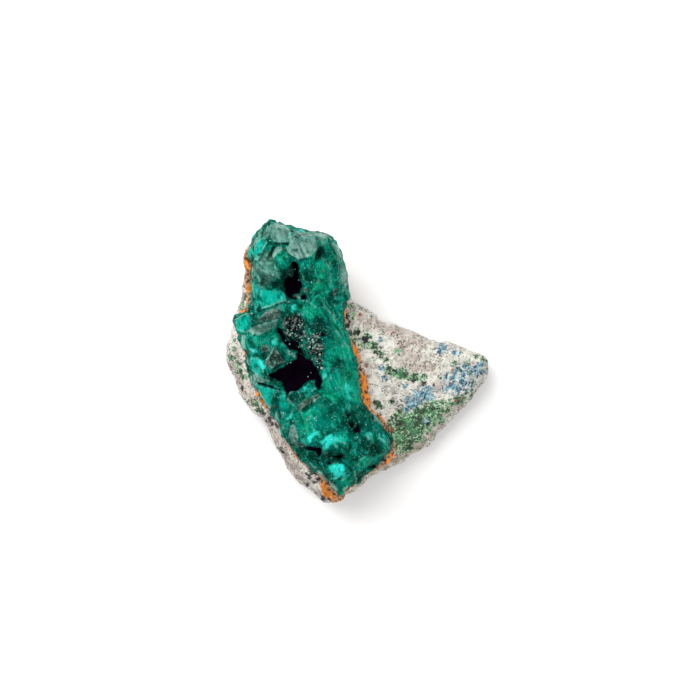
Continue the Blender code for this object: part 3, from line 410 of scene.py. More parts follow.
# Spots on the rock and the seam: the middle's pixel, and the radius in pixels.
GREEN_SPOTS = (
    # the band of dark green grains across the wing's top
    (347, 326, 3), (358, 332, 4), (365, 339, 6), (353, 341, 3), (362, 345, 4), (373, 346, 4), (377, 351, 4),
    (381, 355, 4), (387, 359, 3), (398, 352, 3), (387, 368, 3), (391, 372, 6), (398, 373, 6), (405, 375, 5),
    (410, 378, 3), (417, 376, 4), (423, 378, 4), (422, 384, 3),
    # the wing's tip and its lower rim
    (454, 363, 3), (466, 363, 4), (476, 357, 3), (483, 359, 3), (484, 370, 2), (487, 361, 3), (490, 368, 3),
    (480, 353, 2), (441, 378, 2), (472, 396, 4), (466, 398, 3), (458, 399, 3), (450, 399, 3), (443, 402, 4),
    (432, 403, 6), (426, 409, 6),
    # the green crust on the wing's lower right
    (419, 413, 9), (408, 419, 9), (398, 424, 9), (414, 427, 9), (404, 434, 10), (394, 437, 6), (418, 436, 6),
    (399, 446, 7), (409, 444, 6), (390, 427, 5), (379, 408, 3), (392, 402, 3), (440, 411, 5), (432, 421, 6),
    (428, 428, 4), (376, 402, 3), (397, 415, 3), (440, 419, 5), (446, 411, 4), (470, 372, 3), (477, 377, 2),
    (452, 377, 3), (459, 369, 3), (473, 382, 2), (457, 388, 2),
    # the left flank
    (233, 340, 3), (233, 348, 3), (231, 358, 4), (238, 364, 4), (240, 371, 4), (244, 377, 3), (245, 402, 4),
    (257, 403, 4), (260, 410, 4), (311, 472, 3), (281, 452, 2), (352, 316, 3), (350, 307, 3), (347, 333, 3),
    (241, 306, 4), (243, 286, 3), (244, 298, 3),
)
GREEN_AREAS = (
    (394, 419, 400, 413, 405, 408, 420, 405, 434, 401, 447, 402, 460, 397, 470, 393, 466, 400, 452, 405,
     443, 411, 437, 419, 430, 427, 420, 437, 409, 446, 402, 453, 396, 446, 387, 430),
)
BLUE_AREAS = (
    (441, 379, 448, 370, 458, 364, 470, 360, 480, 362, 484, 372, 478, 386, 466, 394, 452, 395, 441, 390),
)
# Painted shade along the foot of the crystals, where the rock meets them.
RIDGE_SHADE_LINES = (
    (250, 377, 256, 388, 262, 398, 268, 411, 276, 424, 284, 436, 294, 448, 303, 460, 312, 469, 320, 478,
     328, 490),
    (346, 312, 350, 324, 351, 338, 356, 350),
)
BRIGHT_SPOTS = (
    (433, 421, 5), (433, 413, 4), (399, 352, 3), (408, 425, 6), (399, 438, 6), (398, 373, 5), (414, 431, 5),
)
BLUE_SPOTS = (
    (423, 393, 9), (428, 396, 6), (410, 403, 6), (415, 399, 5), (408, 409, 4), (419, 401, 4), (460, 381, 5),
    (452, 386, 4), (446, 378, 3), (463, 376, 3), (456, 373, 3), (466, 383, 3), (447, 388, 4), (479, 365, 4),
    (481, 371, 3), (475, 368, 3), (443, 347, 4), (439, 351, 3), (454, 353, 3), (460, 354, 2), (380, 340, 3),
    (382, 368, 3), (385, 378, 3), (371, 316, 1.3), (427, 422, 3), (464, 366, 3), (457, 391, 3), (405, 386, 3),
)
PINK_SPOTS = (
    (352, 308, 5), (360, 317, 6), (369, 323, 6), (379, 326, 7), (390, 330, 8), (401, 334, 8), (412, 340, 9),
    (420, 344, 7), (404, 347, 8), (411, 357, 10), (418, 366, 9), (405, 361, 8), (430, 367, 7), (438, 383, 6),
    (232, 366, 9), (239, 381, 9), (246, 392, 9), (236, 352, 5), (244, 300, 5), (271, 425, 8), (276, 440, 8),
    (283, 452, 9), (290, 464, 9), (298, 474, 8), (272, 432, 7), (287, 445, 5), (252, 401, 5),
)
MAUVE_SPOTS = (
    (279, 446, 5), (286, 457, 5), (295, 468, 5), (305, 484, 6), (313, 481, 5), (318, 492, 6), (327, 500, 5),
    (300, 478, 5), (442, 388, 4), (439, 393, 4), (404, 409, 5), (395, 404, 5), (267, 417, 4), (350, 312, 3),
    (385, 324, 3), (397, 328, 3), (432, 419, 4), (392, 401, 3),
)
# Black grains on the rock, and spots of painted shade along the crystals' foot.
BLACK_AND_SHADE_SPOTS = (
    (242, 388, 2), (269, 420, 3), (272, 424, 2), (307, 473, 2), (318, 479, 2), (315, 482, 2), (308, 484, 2),
    (338, 499, 4), (282, 453, 2), (249, 401, 2), (264, 414, 3), (347, 316, 2), (347, 325, 2), (392, 401, 2),
    (381, 347, 2), (366, 340, 3), (377, 355, 2), (359, 333, 2), (432, 409, 2), (428, 424, 2), (280, 449, 2),
    (334, 501, 3), (323, 499, 3), (395, 371, 2), (413, 381, 2), (424, 383, 3), (433, 384, 2), (309, 477, 2),
    (488, 357, 2), (491, 364, 2), (489, 374, 2), (479, 351, 2),
)
RUST_SPOTS = (
    (394, 333, 1.8), (360, 314, 1.6), (374, 325, 1.5), (429, 404, 1.3), (366, 366, 2), (392, 429, 2),
    (421, 384, 1.6), (473, 363, 2), (452, 370, 1.5), (463, 398, 1.3), (457, 401, 1.3), (251, 262, 3),
)
TAN_SPOTS = (
    (449, 409, 6), (444, 413, 5), (459, 404, 5), (470, 402, 5), (437, 424, 6), (431, 432, 7), (424, 440, 7),
    (415, 448, 7), (404, 455, 7), (395, 461, 6), (438, 416, 4), (478, 394, 5), (484, 384, 4), (385, 466, 6),
    (372, 470, 5), (362, 480, 5),
)
# Painted light next to the ridge, which lifts the white and thins the specks.
CLEAN_LIT_SPOTS = (
    (378, 390, 9), (374, 380, 7), (377, 398, 7), (381, 362, 5), (368, 353, 5), (380, 372, 4), (373, 335, 6),
    (390, 345, 5), (360, 325, 5), (404, 457, 3),
)
ORANGE_SPOTS = (
    # the right side, from the top
    (344, 313, 3), (355, 347, 3), (357, 351, 3), (360, 355, 4), (362, 359, 4), (364, 378, 4), (365, 384, 4),
    (366, 390, 4), (367, 396, 5), (369, 402, 5), (371, 406, 3), (382, 416, 3), (386, 419, 4), (389, 423, 3),
    (391, 429, 2), (392, 455, 2.5), (388, 461, 2.5),
    # the left side
    (246, 263, 3), (249, 267, 2.5), (250, 273, 2.5), (251, 285, 2.5), (249, 290, 2.5), (243, 312, 2.5),
    (258, 394, 2), (263, 402, 2.5), (266, 407, 2.5), (297, 457, 3), (300, 460, 2),
    # the bottom
    (322, 484, 2.5), (324, 489, 4), (328, 494, 4), (333, 497, 2.5),
)
# A browner seam, which is also painted shade on its left and bottom, where the key light falls strongly.
BROWN_SHADE_SPOTS = (
    (325, 488, 5), (328, 494, 5), (332, 492, 4), (334, 498, 4), (249, 287, 3), (246, 258, 4), (244, 279, 3),
    (262, 403, 4), (266, 408, 3),
)

# The patches of the crystals, with how soft and how uneven their rims are in pixels.
PATCHES = {
    "frost_and_sheen": (FROSTED_SHEENS, 0.5, 0.25),
    "soft_sheen": (SOFT_SHEENS, 3.0, 3.0),
    "smoke": (SMOKES, 0.8, 0.5),
    "glow": (GLOWS, 1.0, 1.6),
    "core": (CORES, 1.0, 1.2),
    "light": (LIGHTS, 4.0, 5.0),
    "pit_shade": (PIT_SHADES, 0.6, 0.6),
    "shade": (SHADES, 2.0, 2.5),
    "vug": (VUGS, 1.5, 2.0),
    "smooth": (CALMS, 4.0, 3.0),
    "wedge": (WEDGES, 1.0, 0.0),
}

# What colours the rock: its spots, and its patches on the walls that the photograph doesn't show,
# by their size, the seed of their noise and the level that they start at.
ROCK_COVERS = {
    "green": (GREEN_SPOTS, 3.0, 21, 0.5),
    "bright": (BRIGHT_SPOTS, 2.0, 22, 0.9),
    "blue": (BLUE_SPOTS, 2.6, 23, 0.9),
    "pink": (PINK_SPOTS, 5.0, 24, -0.4),
    "mauve": (MAUVE_SPOTS, 3.5, 25, 0.3),
    "black_and_shade": (BLACK_AND_SHADE_SPOTS, 1.4, 26, 0.85),
    "rust": (RUST_SPOTS, 2.2, 27, 1.0),
    "tan": (TAN_SPOTS, 4.5, 28, 0.0),
}
AREA_SOFTNESS = 4.0
AREA_SWAY = 3.0
BLUE_SHARE = 0.24

# The widths of the lines, in pixels.
HIGHLIGHT_WIDTH = 0.6
SHADE_LINE_WIDTH = 0.9
RIDGE_SHADE_WIDTH = 1.5

# Colours, as linear red, green and blue.
BLACK_GREEN = (0.0, 0.022, 0.013)
MID_GREEN = (0.0, 0.182, 0.130)
GLOW_HIGH = (0.006, 0.560, 0.440)
# Painted shade in the hollows.
HOLLOW_SHADE_BLACK = (0.003, 0.001, 0.004)
LEAF_TINT = (1.0, 1.0, 0.70)
# Painted highlight on edges and glitter.
EDGE_LIGHT = (0.200, 0.500, 0.430)
STREAK_GREEN = (0.020, 0.480, 0.360)
GREEN_SHINE = (0.080, 1.000, 0.850)
MINT_SHINE = (0.300, 1.000, 0.880)
DEPTH_GREEN = (0.02, 0.80, 0.74)
PINK = (0.440, 0.335, 0.290)
MAUVE = (0.230, 0.175, 0.205)
TAN = (0.270, 0.200, 0.130)
ROCK_DARK_GREEN = (0.006, 0.026, 0.010)
ROCK_PALE_GREEN = (0.360, 0.490, 0.340)
ROCK_BRIGHT_GREEN = (0.070, 0.330, 0.140)
ROCK_PALE_BLUE = (0.360, 0.460, 0.480)
ROCK_BLACK = (0.014, 0.012, 0.018)
SPECK_BROWN = (0.075, 0.050, 0.058)
RUST = (0.250, 0.070, 0.030)
# Painted light next to the ridge.
PAINTED_LIGHT_WHITE = (0.800, 0.780, 0.720)
# Painted shade in the gaps between grains.
GAP_SHADE_GREY = (0.17, 0.15, 0.14)
SEAM_ORANGE = (0.980, 0.260, 0.016)
SEAM_BROWN = (0.230, 0.050, 0.008)
# Browner seam colour, also used as painted shade.
SEAM_BROWN_SHADE = (0.300, 0.110, 0.010)

# Runs of colours, from the bottom of a pattern's levels to the top.
CRYSTAL_GREENS = (
    (0.05, BLACK_GREEN), (0.3, (0.0, 0.085, 0.060)), (0.52, MID_GREEN), (0.78, (0.0, 0.275, 0.210)),
    (1.0, (0.030, 0.400, 0.300)))
GLOW_GREENS = ((0.0, MID_GREEN), (0.3, (0.0, 0.320, 0.230)), (1.0, GLOW_HIGH))
CORE_GREENS = ((0.3, GLOW_HIGH), (0.7, (0.040, 0.820, 0.760)))
# Painted grey sheen.
SHEEN_GREYS = ((0.15, (0.055, 0.150, 0.120)), (0.5, (0.150, 0.285, 0.235)), (0.9, (0.330, 0.465, 0.410)))
SMOKE_GREYS = ((0.2, (0.020, 0.034, 0.028)), (0.5, (0.075, 0.100, 0.082)), (0.85, (0.210, 0.235, 0.200)))
# Near-black painted shade, up to grey and white painted glints.
VUG_GLINT_SHADES = (
    (0.44, (0.003, 0.002, 0.004)), (0.50, (0.006, 0.030, 0.024)), (0.55, (0.020, 0.085, 0.068)),
    (0.63, (0.060, 0.095, 0.078)), (0.71, (0.140, 0.180, 0.155)), (0.79, (0.500, 0.550, 0.500)))
# Painted glints.
SPARKLE_MINTS = ((0.3, (0.020, 0.300, 0.240)), (0.7, (0.380, 0.840, 0.740)))
GRAIN_WHITES = ((0.0, (0.400, 0.390, 0.350)), (0.4, (0.600, 0.575, 0.505)), (1.0, (0.690, 0.675, 0.610)))
SPECK_COLOURS = ((0.42, (0.015, 0.045, 0.030)), (0.55, SPECK_BROWN))
ROCK_GREENS = (
    (0.45, ROCK_DARK_GREEN), (0.50, (0.020, 0.115, 0.038)), (0.56, (0.070, 0.255, 0.090)),
    (0.61, ROCK_PALE_GREEN))
ROCK_BLUES = (
    (0.41, (0.016, 0.040, 0.075)), (0.47, (0.048, 0.160, 0.240)), (0.55, (0.125, 0.315, 0.385)),
    (0.66, ROCK_PALE_BLUE))
SEAM_ORANGES = (
    (0.36, SEAM_BROWN), (0.43, (0.700, 0.140, 0.012)), (0.49, SEAM_ORANGE), (0.56, SEAM_ORANGE),
    (0.64, (1.000, 0.400, 0.060)), (0.72, (0.950, 0.520, 0.240)))
SEAM_CRUSTS = ((0.36, ROCK_DARK_GREEN), (0.44, SEAM_BROWN), (0.52, (0.360, 0.250, 0.150)), (0.66, PINK))

# Dioptase as glass: its refraction, and how much light a metre of it takes up.
CRYSTAL_IOR = 1.66
CRYSTAL_DENSITY = 1500.0


def photo_place(u, v):
    """The place on the specimen, in metres, that a pixel of the photograph shows."""
    return (u - FOOTPRINT_PIXEL[0]) * PIXEL * MM, (FOOTPRINT_PIXEL[1] - v) * PIXEL * MM


def photo_pixels(points):
    """Where points in metres show in the photograph, as pixels."""
    u = FOOTPRINT_PIXEL[0] + points[:, 0] / (PIXEL * MM)
    v = FOOTPRINT_PIXEL[1] - points[:, 1] / (PIXEL * MM)
    return np.stack((u, v), axis=1)


# Meshes as arrays.


def triples(items, name):
    """A vector of each of a mesh's points, as rows of three numbers."""
    numbers = np.empty(len(items) * 3, np.float32)
    items.foreach_get(name, numbers)
    return numbers.reshape(-1, 3).astype(float)


def edges_of(mesh):
    """The numbers of the two points at each edge's ends."""
    edges = np.empty(len(mesh.edges) * 2, np.int32)
    mesh.edges.foreach_get("vertices", edges)
    return edges.reshape(-1, 2)


def move_points(mesh, points):
    """Moves a mesh's points, and gives the direction that each one then faces."""
    mesh.vertices.foreach_set("co", points.astype(np.float32).ravel())
    mesh.update()
    return triples(mesh.vertices, "normal")


def inside_box(points, box):
    """Points held just inside a box given by its two corners."""
    low, high = np.array(box)
    return np.clip(points, low + BOX_MARGIN * MM, high - BOX_MARGIN * MM)


def write_masks(mesh, masks):
    """Writes one number a point under each name, for the material to read."""
    for name, values in masks.items():
        layer = mesh.attributes.new(name, "FLOAT", "POINT")
        layer.data.foreach_set("value", values.astype(np.float32))


def smoothed(points, edges, rounds):
    """Points moved a few times halfway to the middle of their neighbours."""
    count = np.bincount(edges.ravel(), minlength=len(points)).astype(float)
    count = np.maximum(count, 1)
    axes = []
    for values in points.T:
        for _ in range(rounds):
            total = np.bincount(edges[:, 0], values[edges[:, 1]], len(values))
            total += np.bincount(edges[:, 1], values[edges[:, 0]], len(values))
            values = (values + total / count) / 2
        axes.append(values)
    return np.stack(axes, axis=1)


def convexity(points, normals, edges):
    """How far each point stands out of its neighbours: above 0 on an outer edge, below in a crease."""
    along = points[edges[:, 1]] - points[edges[:, 0]]
    along /= np.maximum(np.linalg.norm(along, axis=1), TINY)[:, None]
    out = np.zeros(len(points))
    np.add.at(out, edges[:, 0], -(along * normals[edges[:, 0]]).sum(1))
    np.add.at(out, edges[:, 1], (along * normals[edges[:, 1]]).sum(1))
    return out / np.maximum(np.bincount(edges.ravel(), minlength=len(points)), 1)


def noise_at(points, size, seed, octaves=2):
    """Fractal noise of about -1 to 1, with lumps of a size in millimetres."""
    shift = Vector([seed * step for step in NOISE_SHIFT])
    scale = 1 / (size * MM)
    found = (noise.fractal(Vector(p) * scale + shift, 1.0, 2.0, octaves) for p in points)
    return np.fromiter(found, float, len(points)) * NOISE_SWING


def stretched_noise(points, along, length, width, seed):
    """Streaks of noise that run along a level direction."""
    ahead = Vector((*along, 0)).normalized()
    aside = Vector((-ahead.y, ahead.x, 0))
    lattice = np.array((ahead / length, aside / width, Vector((0, 0, 1)) / width)) / MM
    shift = Vector([seed * step for step in STREAK_SHIFT])
    found = (noise.noise(Vector(p) + shift) for p in points @ lattice.T)
    return np.fromiter(found, float, len(points)) * NOISE_SWING


def distance_to(pixels, a, b):
    """How many pixels each place is from the line between two points."""
    side = b - a
    t = np.clip(((pixels - a) @ side) / (side @ side), 0, 1)
    return np.linalg.norm(pixels - a - t[:, None] * side, axis=1)


def inside_by(pixels, corners):
    """How many pixels each place lies inside a polygon, below 0 outside it."""
    nearest = np.full(len(pixels), FAR)
    inside = np.zeros(len(pixels), bool)
    corners = np.array(corners, float).reshape(-1, 2)
    for a, b in zip(corners, np.roll(corners, -1, axis=0)):
        nearest = np.minimum(nearest, distance_to(pixels, a, b))
        run, rise = b - a
        rise = rise if abs(rise) > TINY else TINY
        crosses = (a[1] > pixels[:, 1]) != (b[1] > pixels[:, 1])
        inside ^= crosses & (pixels[:, 0] < a[0] + (pixels[:, 1] - a[1]) * run / rise)
    return np.where(inside, nearest, -nearest)


def depth_in(pixels, polygons):
    """How many pixels each place lies inside the nearest of some polygons, below 0 outside them all."""
    return np.max([inside_by(pixels, corners) for corners in polygons], axis=0)


def soft_rim(depth, softness):
    """A cover of 0 to 1 that is half there on a patch's rim."""
    return np.clip(0.5 + depth / (2 * softness), 0, 1)


def strokes(pixels, lines, width):
    """How close each place is to any of some lines, from 0 to 1 on one."""
    nearest = np.full(len(pixels), FAR)
    for line in lines:
        corners = np.array(line, float).reshape(-1, 2)
        for a, b in zip(corners, corners[1:]):
            nearest = np.minimum(nearest, distance_to(pixels, a, b))
    return np.exp(-(nearest / width) ** 2)


def spots(pixels, places, unevenness):
    """How strongly each place is covered by some round spots, from 0 to 1."""
    cover = np.zeros(len(pixels))
    for u, v, radius in places:
        away = np.hypot(pixels[:, 0] - u, pixels[:, 1] - v)
        cover = np.maximum(cover, np.clip(SPOT_FULL - away / radius + SPOT_SWAY * unevenness, 0, 1))
    return cover


# Meshes from the CAD.


def add_object(name, data):
    """A new object in the scene."""
    obj = bpy.data.objects.new(name, data)
    bpy.context.scene.collection.objects.link(obj)
    return obj


def joined_mesh(node):
    """A CAD node's mesh with the faces joined where their corners meet."""
    bm = bmesh.new()
    bm.from_mesh(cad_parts[node].data)
    bmesh.ops.remove_doubles(bm, verts=bm.verts, dist=WELD * MM)
    bm.faces.index_update()
    bm.faces.ensure_lookup_table()
    return bm


def dense_copy(node, name, voxel):
    """A new object with an even, dense copy of a CAD node's mesh."""
    bm = joined_mesh(node)
    source = bpy.data.meshes.new(name)
    bm.to_mesh(source)
    bm.free()
    working = add_object("working", source)
    remesh = working.modifiers.new("even", "REMESH")
    remesh.mode = "VOXEL"
    remesh.voxel_size = voxel * MM
    graph = bpy.context.evaluated_depsgraph_get()
    mesh = bpy.data.meshes.new_from_object(working.evaluated_get(graph))
    bpy.data.objects.remove(working)
    mesh.name = name
    mesh.materials.clear()
    return add_object(name, mesh)


def facets_of(bm):
    """The number of the flat facet that each face of a mesh belongs to."""
    facet = np.full(len(bm.faces), -1)
    level = math.cos(FACET_ANGLE)
    number = 0
    for face in bm.faces:
        if facet[face.index] >= 0:
            continue
        facet[face.index] = number
        waiting = [face]
        while waiting:
            now = waiting.pop()
            for other in (other for edge in now.edges for other in edge.link_faces):
                if facet[other.index] < 0 and other.normal.dot(face.normal) > level:
                    facet[other.index] = number
                    waiting.append(other)
        number += 1
    return facet


def onto_faces(points, bm):
    """Points moved onto a mesh's nearest faces, with each face's number and direction."""
    tree = BVHTree.FromBMesh(bm)
    found = [tree.find_nearest(Vector(p)) for p in points]
    places = np.array([hit[0] for hit in found], float)
    faces = np.array([hit[2] for hit in found])
    directions = np.array([face.normal for face in bm.faces])
    return places, faces, directions[faces]


def scattered(points, spacing, rng):
    """Random places through the points' box, about a spacing apart, and a tree that finds them."""
    low, high = points.min(0), points.max(0)
    count = int(np.prod(high - low) / (spacing * MM) ** 3)
    seeds = rng.uniform(low, high, (count, 3))
    tree = KDTree(count)
    for i, seed in enumerate(seeds):
        tree.insert(seed, i)
    tree.balance()
    return seeds, tree


def facet_relief(points, facets, rng):
    """A relief of small flat faces that meet in ridges: its height in metres, and each face's tone."""
    spacing, tilt = facets
    seeds, tree = scattered(points, spacing, rng)
    slope = math.tan(math.radians(tilt))
    leans = rng.normal(0, slope, seeds.shape)
    near = np.array([[index for _, index, _ in tree.find_n(p, FACET_RIVALS)] for p in points])
    away = points[:, None, :] - seeds[near]
    hold = FACET_HOLD * slope / (spacing * MM)
    heights = (away * leans[near]).sum(2) + hold * (away ** 2).sum(2)
    lowest = heights.argmin(1)
    rows = np.arange(len(points))
    return heights[rows, lowest], rng.uniform(-1, 1, len(seeds))[near[rows, lowest]]


def domes(points, spacing, rng):
    """Round grains: a height of 0 in the gaps to about 1 on their tops, and each point's grain."""
    seeds, tree = scattered(points, spacing, rng)
    size = rng.uniform(*GRAIN_SIZES, len(seeds))
    found = [tree.find(p)[1:] for p in points]
    grain = np.array([index for index, _ in found])
    away = np.array([distance for _, distance in found]) / (spacing * MM)
    return size[grain] * np.sqrt(np.clip(1 - (away / GRAIN_REACH) ** 2, 0, 1)), grain


# Materials.


class Value:
    """A number or colour that a material works out. It takes +, - and * as plain numbers do."""

    def __init__(self, nodes, socket):
        self.nodes = nodes
        self.socket = socket

    def __add__(self, other):
        return self.nodes.maths("ADD", self, other)

    def __sub__(self, other):
        return self.nodes.maths("SUBTRACT", self, other)

    def __rsub__(self, other):
        return self.nodes.maths("SUBTRACT", other, self)

    def __mul__(self, other):
        return self.nodes.maths("MULTIPLY", self, other)

    __radd__ = __add__

    def held(self):
        """The same number, held between 0 and 1."""
        self.socket.node.use_clamp = True
        return self


class Nodes:
    """Short calls for the nodes that the materials share."""

    def __init__(self, material):
        self.tree = material.node_tree
        self.place = Value(self, self.new("TexCoord", {}).outputs["Object"])

    def fill(self, node, inputs):
        """Gives a node's inputs plain values, or links them to what works them out."""
        for key, value in inputs.items():
            socket = node.inputs[key]
            if isinstance(value, Value):
                self.tree.links.new(value.socket, socket)
            elif isinstance(value, tuple) and socket.type == "RGBA":
                socket.default_value = (*value, 1.0)
            else:
                socket.default_value = value

    def new(self, kind, inputs):
        """A new node with its inputs filled."""
        node = self.tree.nodes.new("ShaderNode" + kind)
        self.fill(node, inputs)
        return node

    def read(self, name):
        """A mask that was written on the mesh."""
        node = self.new("Attribute", {})
        node.attribute_name = name
        return Value(self, node.outputs["Fac"])

    def noise(self, size, detail, roughness):
        """Noise of about 0 to 1, with lumps of a size in millimetres."""
        scale = 1 / (size * MM)
        inputs = {"Vector": self.place, "Scale": scale, "Detail": detail, "Roughness": roughness}
        return Value(self, self.new("TexNoise", inputs).outputs["Fac"])

    def cells(self, size):
        """Small cells, as each one's random colour and its middle."""
        node = self.new("TexVoronoi", {"Vector": self.place, "Scale": 1 / (size * MM)})
        return Value(self, node.outputs["Color"]), Value(self, node.outputs["Position"])

    def maths(self, operation, a, b):
        """Two numbers joined by an operation."""
        node = self.new("Math", {0: a, 1: b})
        node.operation = operation
        return Value(self, node.outputs[0])

    def vector(self, operation, a, b, output):
        """Two vectors joined by an operation."""
        node = self.new("VectorMath", {0: a, 1: b})
        node.operation = operation
        return Value(self, node.outputs[output])

    def spread(self, value, low, high, to_low=0.0, to_high=1.0):
        """A number moved from one range to another, and held there."""
        ends = {"From Min": low, "From Max": high, "To Min": to_low, "To Max": to_high}
        return Value(self, self.new("MapRange", {"Value": value, **ends}).outputs["Result"])

    def sway(self, value, low, high):
        """A noise moved to a range of its own."""
        return self.spread(value, NOISE_LOW, NOISE_HIGH, low, high)

    def drift(self, size, low, high):
        """Broad, plain noise moved to a range of its own."""
        return self.spread(self.noise(size, 2.0, 0.5), DRIFT_LOW, DRIFT_HIGH, low, high)

    def mix(self, share, a, b, blend="MIX"):
        """One colour over another by a share of 0 to 1."""
        node = self.tree.nodes.new("ShaderNodeMix")
        node.data_type = "RGBA"
        node.blend_type = blend
        self.fill(node, {0: share, 6: a, 7: b})
        return Value(self, node.outputs[2])

    def ramp(self, value, stops):
        """A run of colours along a number."""
        node = self.new("ValToRGB", {0: value})
        marks = node.color_ramp.elements
        while len(marks) < len(stops):
            marks.new(0.5)
        for mark, (at, colour) in zip(marks, stops):
            mark.position = at
            mark.color = (*colour, 1.0)
        return Value(self, node.outputs["Color"])

    def bump(self, height, strength, depth, **under):
        """A rough surface, over another one if that is given as Normal."""
        inputs = {"Strength": strength, "Distance": depth * MM, "Height": height, **under}
        return Value(self, self.new("Bump", inputs).outputs["Normal"])

    def facet_height(self, size):
        """A height that tilts each small cell its own way."""
        colour, middle = self.cells(size)
        away = self.vector("SUBTRACT", self.place, middle, "Vector")
        lean = self.vector("SUBTRACT", colour, (0.5, 0.5, 0.5), "Vector")
        return self.vector("DOT_PRODUCT", away, lean, "Value") * (1 / (size * MM))


def new_material(name):
    """A material, its plain shader and the calls that add its nodes."""
    material = bpy.data.materials.new(name)
    material.use_nodes = True
    return material, material.node_tree.nodes["Principled BSDF"], Nodes(material)


def crystal_level(nodes, patch, fine):
    """How light the crystals' green is."""
    mottle = nodes.sway(patch, -0.14, 0.14) + nodes.sway(fine, -0.13, 0.13)
    level = 0.5 + nodes.read("tone") * 0.24 + mottle * (1.0 - nodes.read("smooth") * 0.55)
    return (level + nodes.read("streak") * 0.10).held()


def crystal_greens(nodes, level, fine):
    """Deep green, leaf green where light comes through, and turquoise where it comes back out."""
    colour = nodes.ramp(level, CRYSTAL_GREENS)
    leaf = nodes.spread(nodes.noise(1.5, 2.0, 0.5), 0.45, 0.65, 0.0, 0.7) + nodes.read("light") * 0.5
    colour = nodes.mix(leaf, colour, nodes.mix(1.0, colour, LEAF_TINT, "MULTIPLY"))
    colour = nodes.mix(nodes.read("glow"), colour, nodes.ramp(level, GLOW_GREENS))
    return nodes.mix(nodes.read("core") * 0.85, colour, nodes.ramp(fine, CORE_GREENS))


def crystal_greys(nodes, colour, level):
    """Painted grey sheen on the frosted faces, and smoky faces, streaked more strongly than the greens."""
    streaky = level + nodes.read("streak") * 0.14
    cover = nodes.spread(nodes.noise(1.1, 3.0, 0.6), 0.38, 0.50, 0.5, 0.95)
    colour = nodes.mix(nodes.read("frost_and_sheen") * cover, colour, nodes.ramp(streaky, SHEEN_GREYS))
    streaky = streaky + nodes.read("streak") * 0.14
    return nodes.mix(nodes.read("smoke") * 0.9, colour, nodes.ramp(streaky, SMOKE_GREYS))


def crystal_darks(nodes, colour, fine):
    """Painted shade in the creases and dark patches, dark and light streaks, and the hollow's crumbs painted
    as glints over shade.
    """
    # Painted shade in the creases and the shaded patches.
    for name, most in (("crease_shade", 0.8), ("shade", 0.9)):
        colour = nodes.mix(nodes.read(name) * most, colour, BLACK_GREEN)
    streak = nodes.read("streak")
    colour = nodes.mix(nodes.spread(streak, -0.8, -0.45, 0.5, 0.0), colour, BLACK_GREEN)
    colour = nodes.mix(nodes.spread(streak, 0.5, 0.85, 0.0, 0.3), colour, STREAK_GREEN)
    # Crumbs in the hollow: painted glints over painted shade.
    vug_glints_and_shade = nodes.ramp(nodes.cells(0.32)[0], VUG_GLINT_SHADES)
    vug_glints_and_shade = nodes.mix(nodes.spread(fine, 0.35, 0.6, 0.7, 0.0), vug_glints_and_shade, HOLLOW_SHADE_BLACK)
    return nodes.mix(nodes.read("vug") * 0.95, colour, vug_glints_and_shade)


def crystal_lights(nodes, colour, patch):
    """Painted glitter and painted highlights on the edges, and the pockets' painted shade over it all."""
    glitter = nodes.noise(0.22, 2.0, 0.6) + nodes.sway(patch, -0.05, 0.05)
    # Painted glitter and painted edge highlights.
    colour = nodes.mix(nodes.spread(glitter, 0.62, 0.72, 0.0, 0.6), colour, EDGE_LIGHT)
    colour = nodes.mix(nodes.read("edge") * 0.7, colour, EDGE_LIGHT)
    # Painted shade in the pits.
    return nodes.mix(nodes.read("pit_shade"), colour, HOLLOW_SHADE_BLACK)


def crystal_coat(nodes):
    """Where the crystals shine: some small facets, the edges and the frosted faces."""
    glint = nodes.spread(nodes.cells(0.5)[0], 0.86, 0.9)
    shine = glint * 0.8 + nodes.read("edge") * 0.3 + nodes.read("frost_and_sheen") * 0.25
    return (shine - (nodes.read("pit_shade") * 1.2 + nodes.read("core") * 0.7)).held()


def dioptase_material():
    """Deep green crystal, partly clear, with a painted turquoise glow, a painted grey sheen on its frosted
    faces and painted shade in its near-black hollows.
    """
    material, shader, nodes = new_material("dioptase")
    patch = nodes.noise(0.6, 2.0, 0.5)
    fine = nodes.noise(0.3, 3.0, 0.6)
    level = crystal_level(nodes, patch, fine)
    colour = crystal_greens(nodes, level, fine)
    colour = crystal_greys(nodes, colour, level)
    colour = crystal_darks(nodes, colour, fine)
    facets = nodes.bump(nodes.facet_height(0.6), 0.25, 0.05)
    nodes.fill(shader, {
        "Base Color": crystal_lights(nodes, colour, patch),
        "Roughness": nodes.sway(patch, 0.14, 0.34) + nodes.read("frost_and_sheen") * 0.12,
        "Transmission Weight": (0.14 - nodes.read("glow") * 0.08 - nodes.read("pit_shade") * 0.14).held(),
        "IOR": CRYSTAL_IOR,
        "Specular IOR Level": 0.0,
        "Specular Tint": GREEN_SHINE,
        "Coat Weight": crystal_coat(nodes),
        "Coat Roughness": 0.06,
        "Normal": nodes.bump(fine, 0.08, 0.05, Normal=facets),
    })
    volume = nodes.new("VolumeAbsorption", {"Color": DEPTH_GREEN, "Density": CRYSTAL_DENSITY})
    nodes.fill(nodes.tree.nodes["Material Output"], {"Volume": Value(nodes, volume.outputs[0])})
    return material


def sparkle_material():
    """Pale, glassy faces of small crystals, coloured as painted glints."""
    material, shader, nodes = new_material("sparkles")
    grain = nodes.noise(0.2, 2.0, 0.5)
    nodes.fill(shader, {
        "Base Color": nodes.ramp(grain, SPARKLE_MINTS),
        "Roughness": nodes.sway(grain, 0.08, 0.25),
        "Transmission Weight": 0.25,
        "IOR": CRYSTAL_IOR,
        "Specular Tint": MINT_SHINE,
        "Normal": nodes.bump(grain, 0.2, 0.03),
    })
    return material


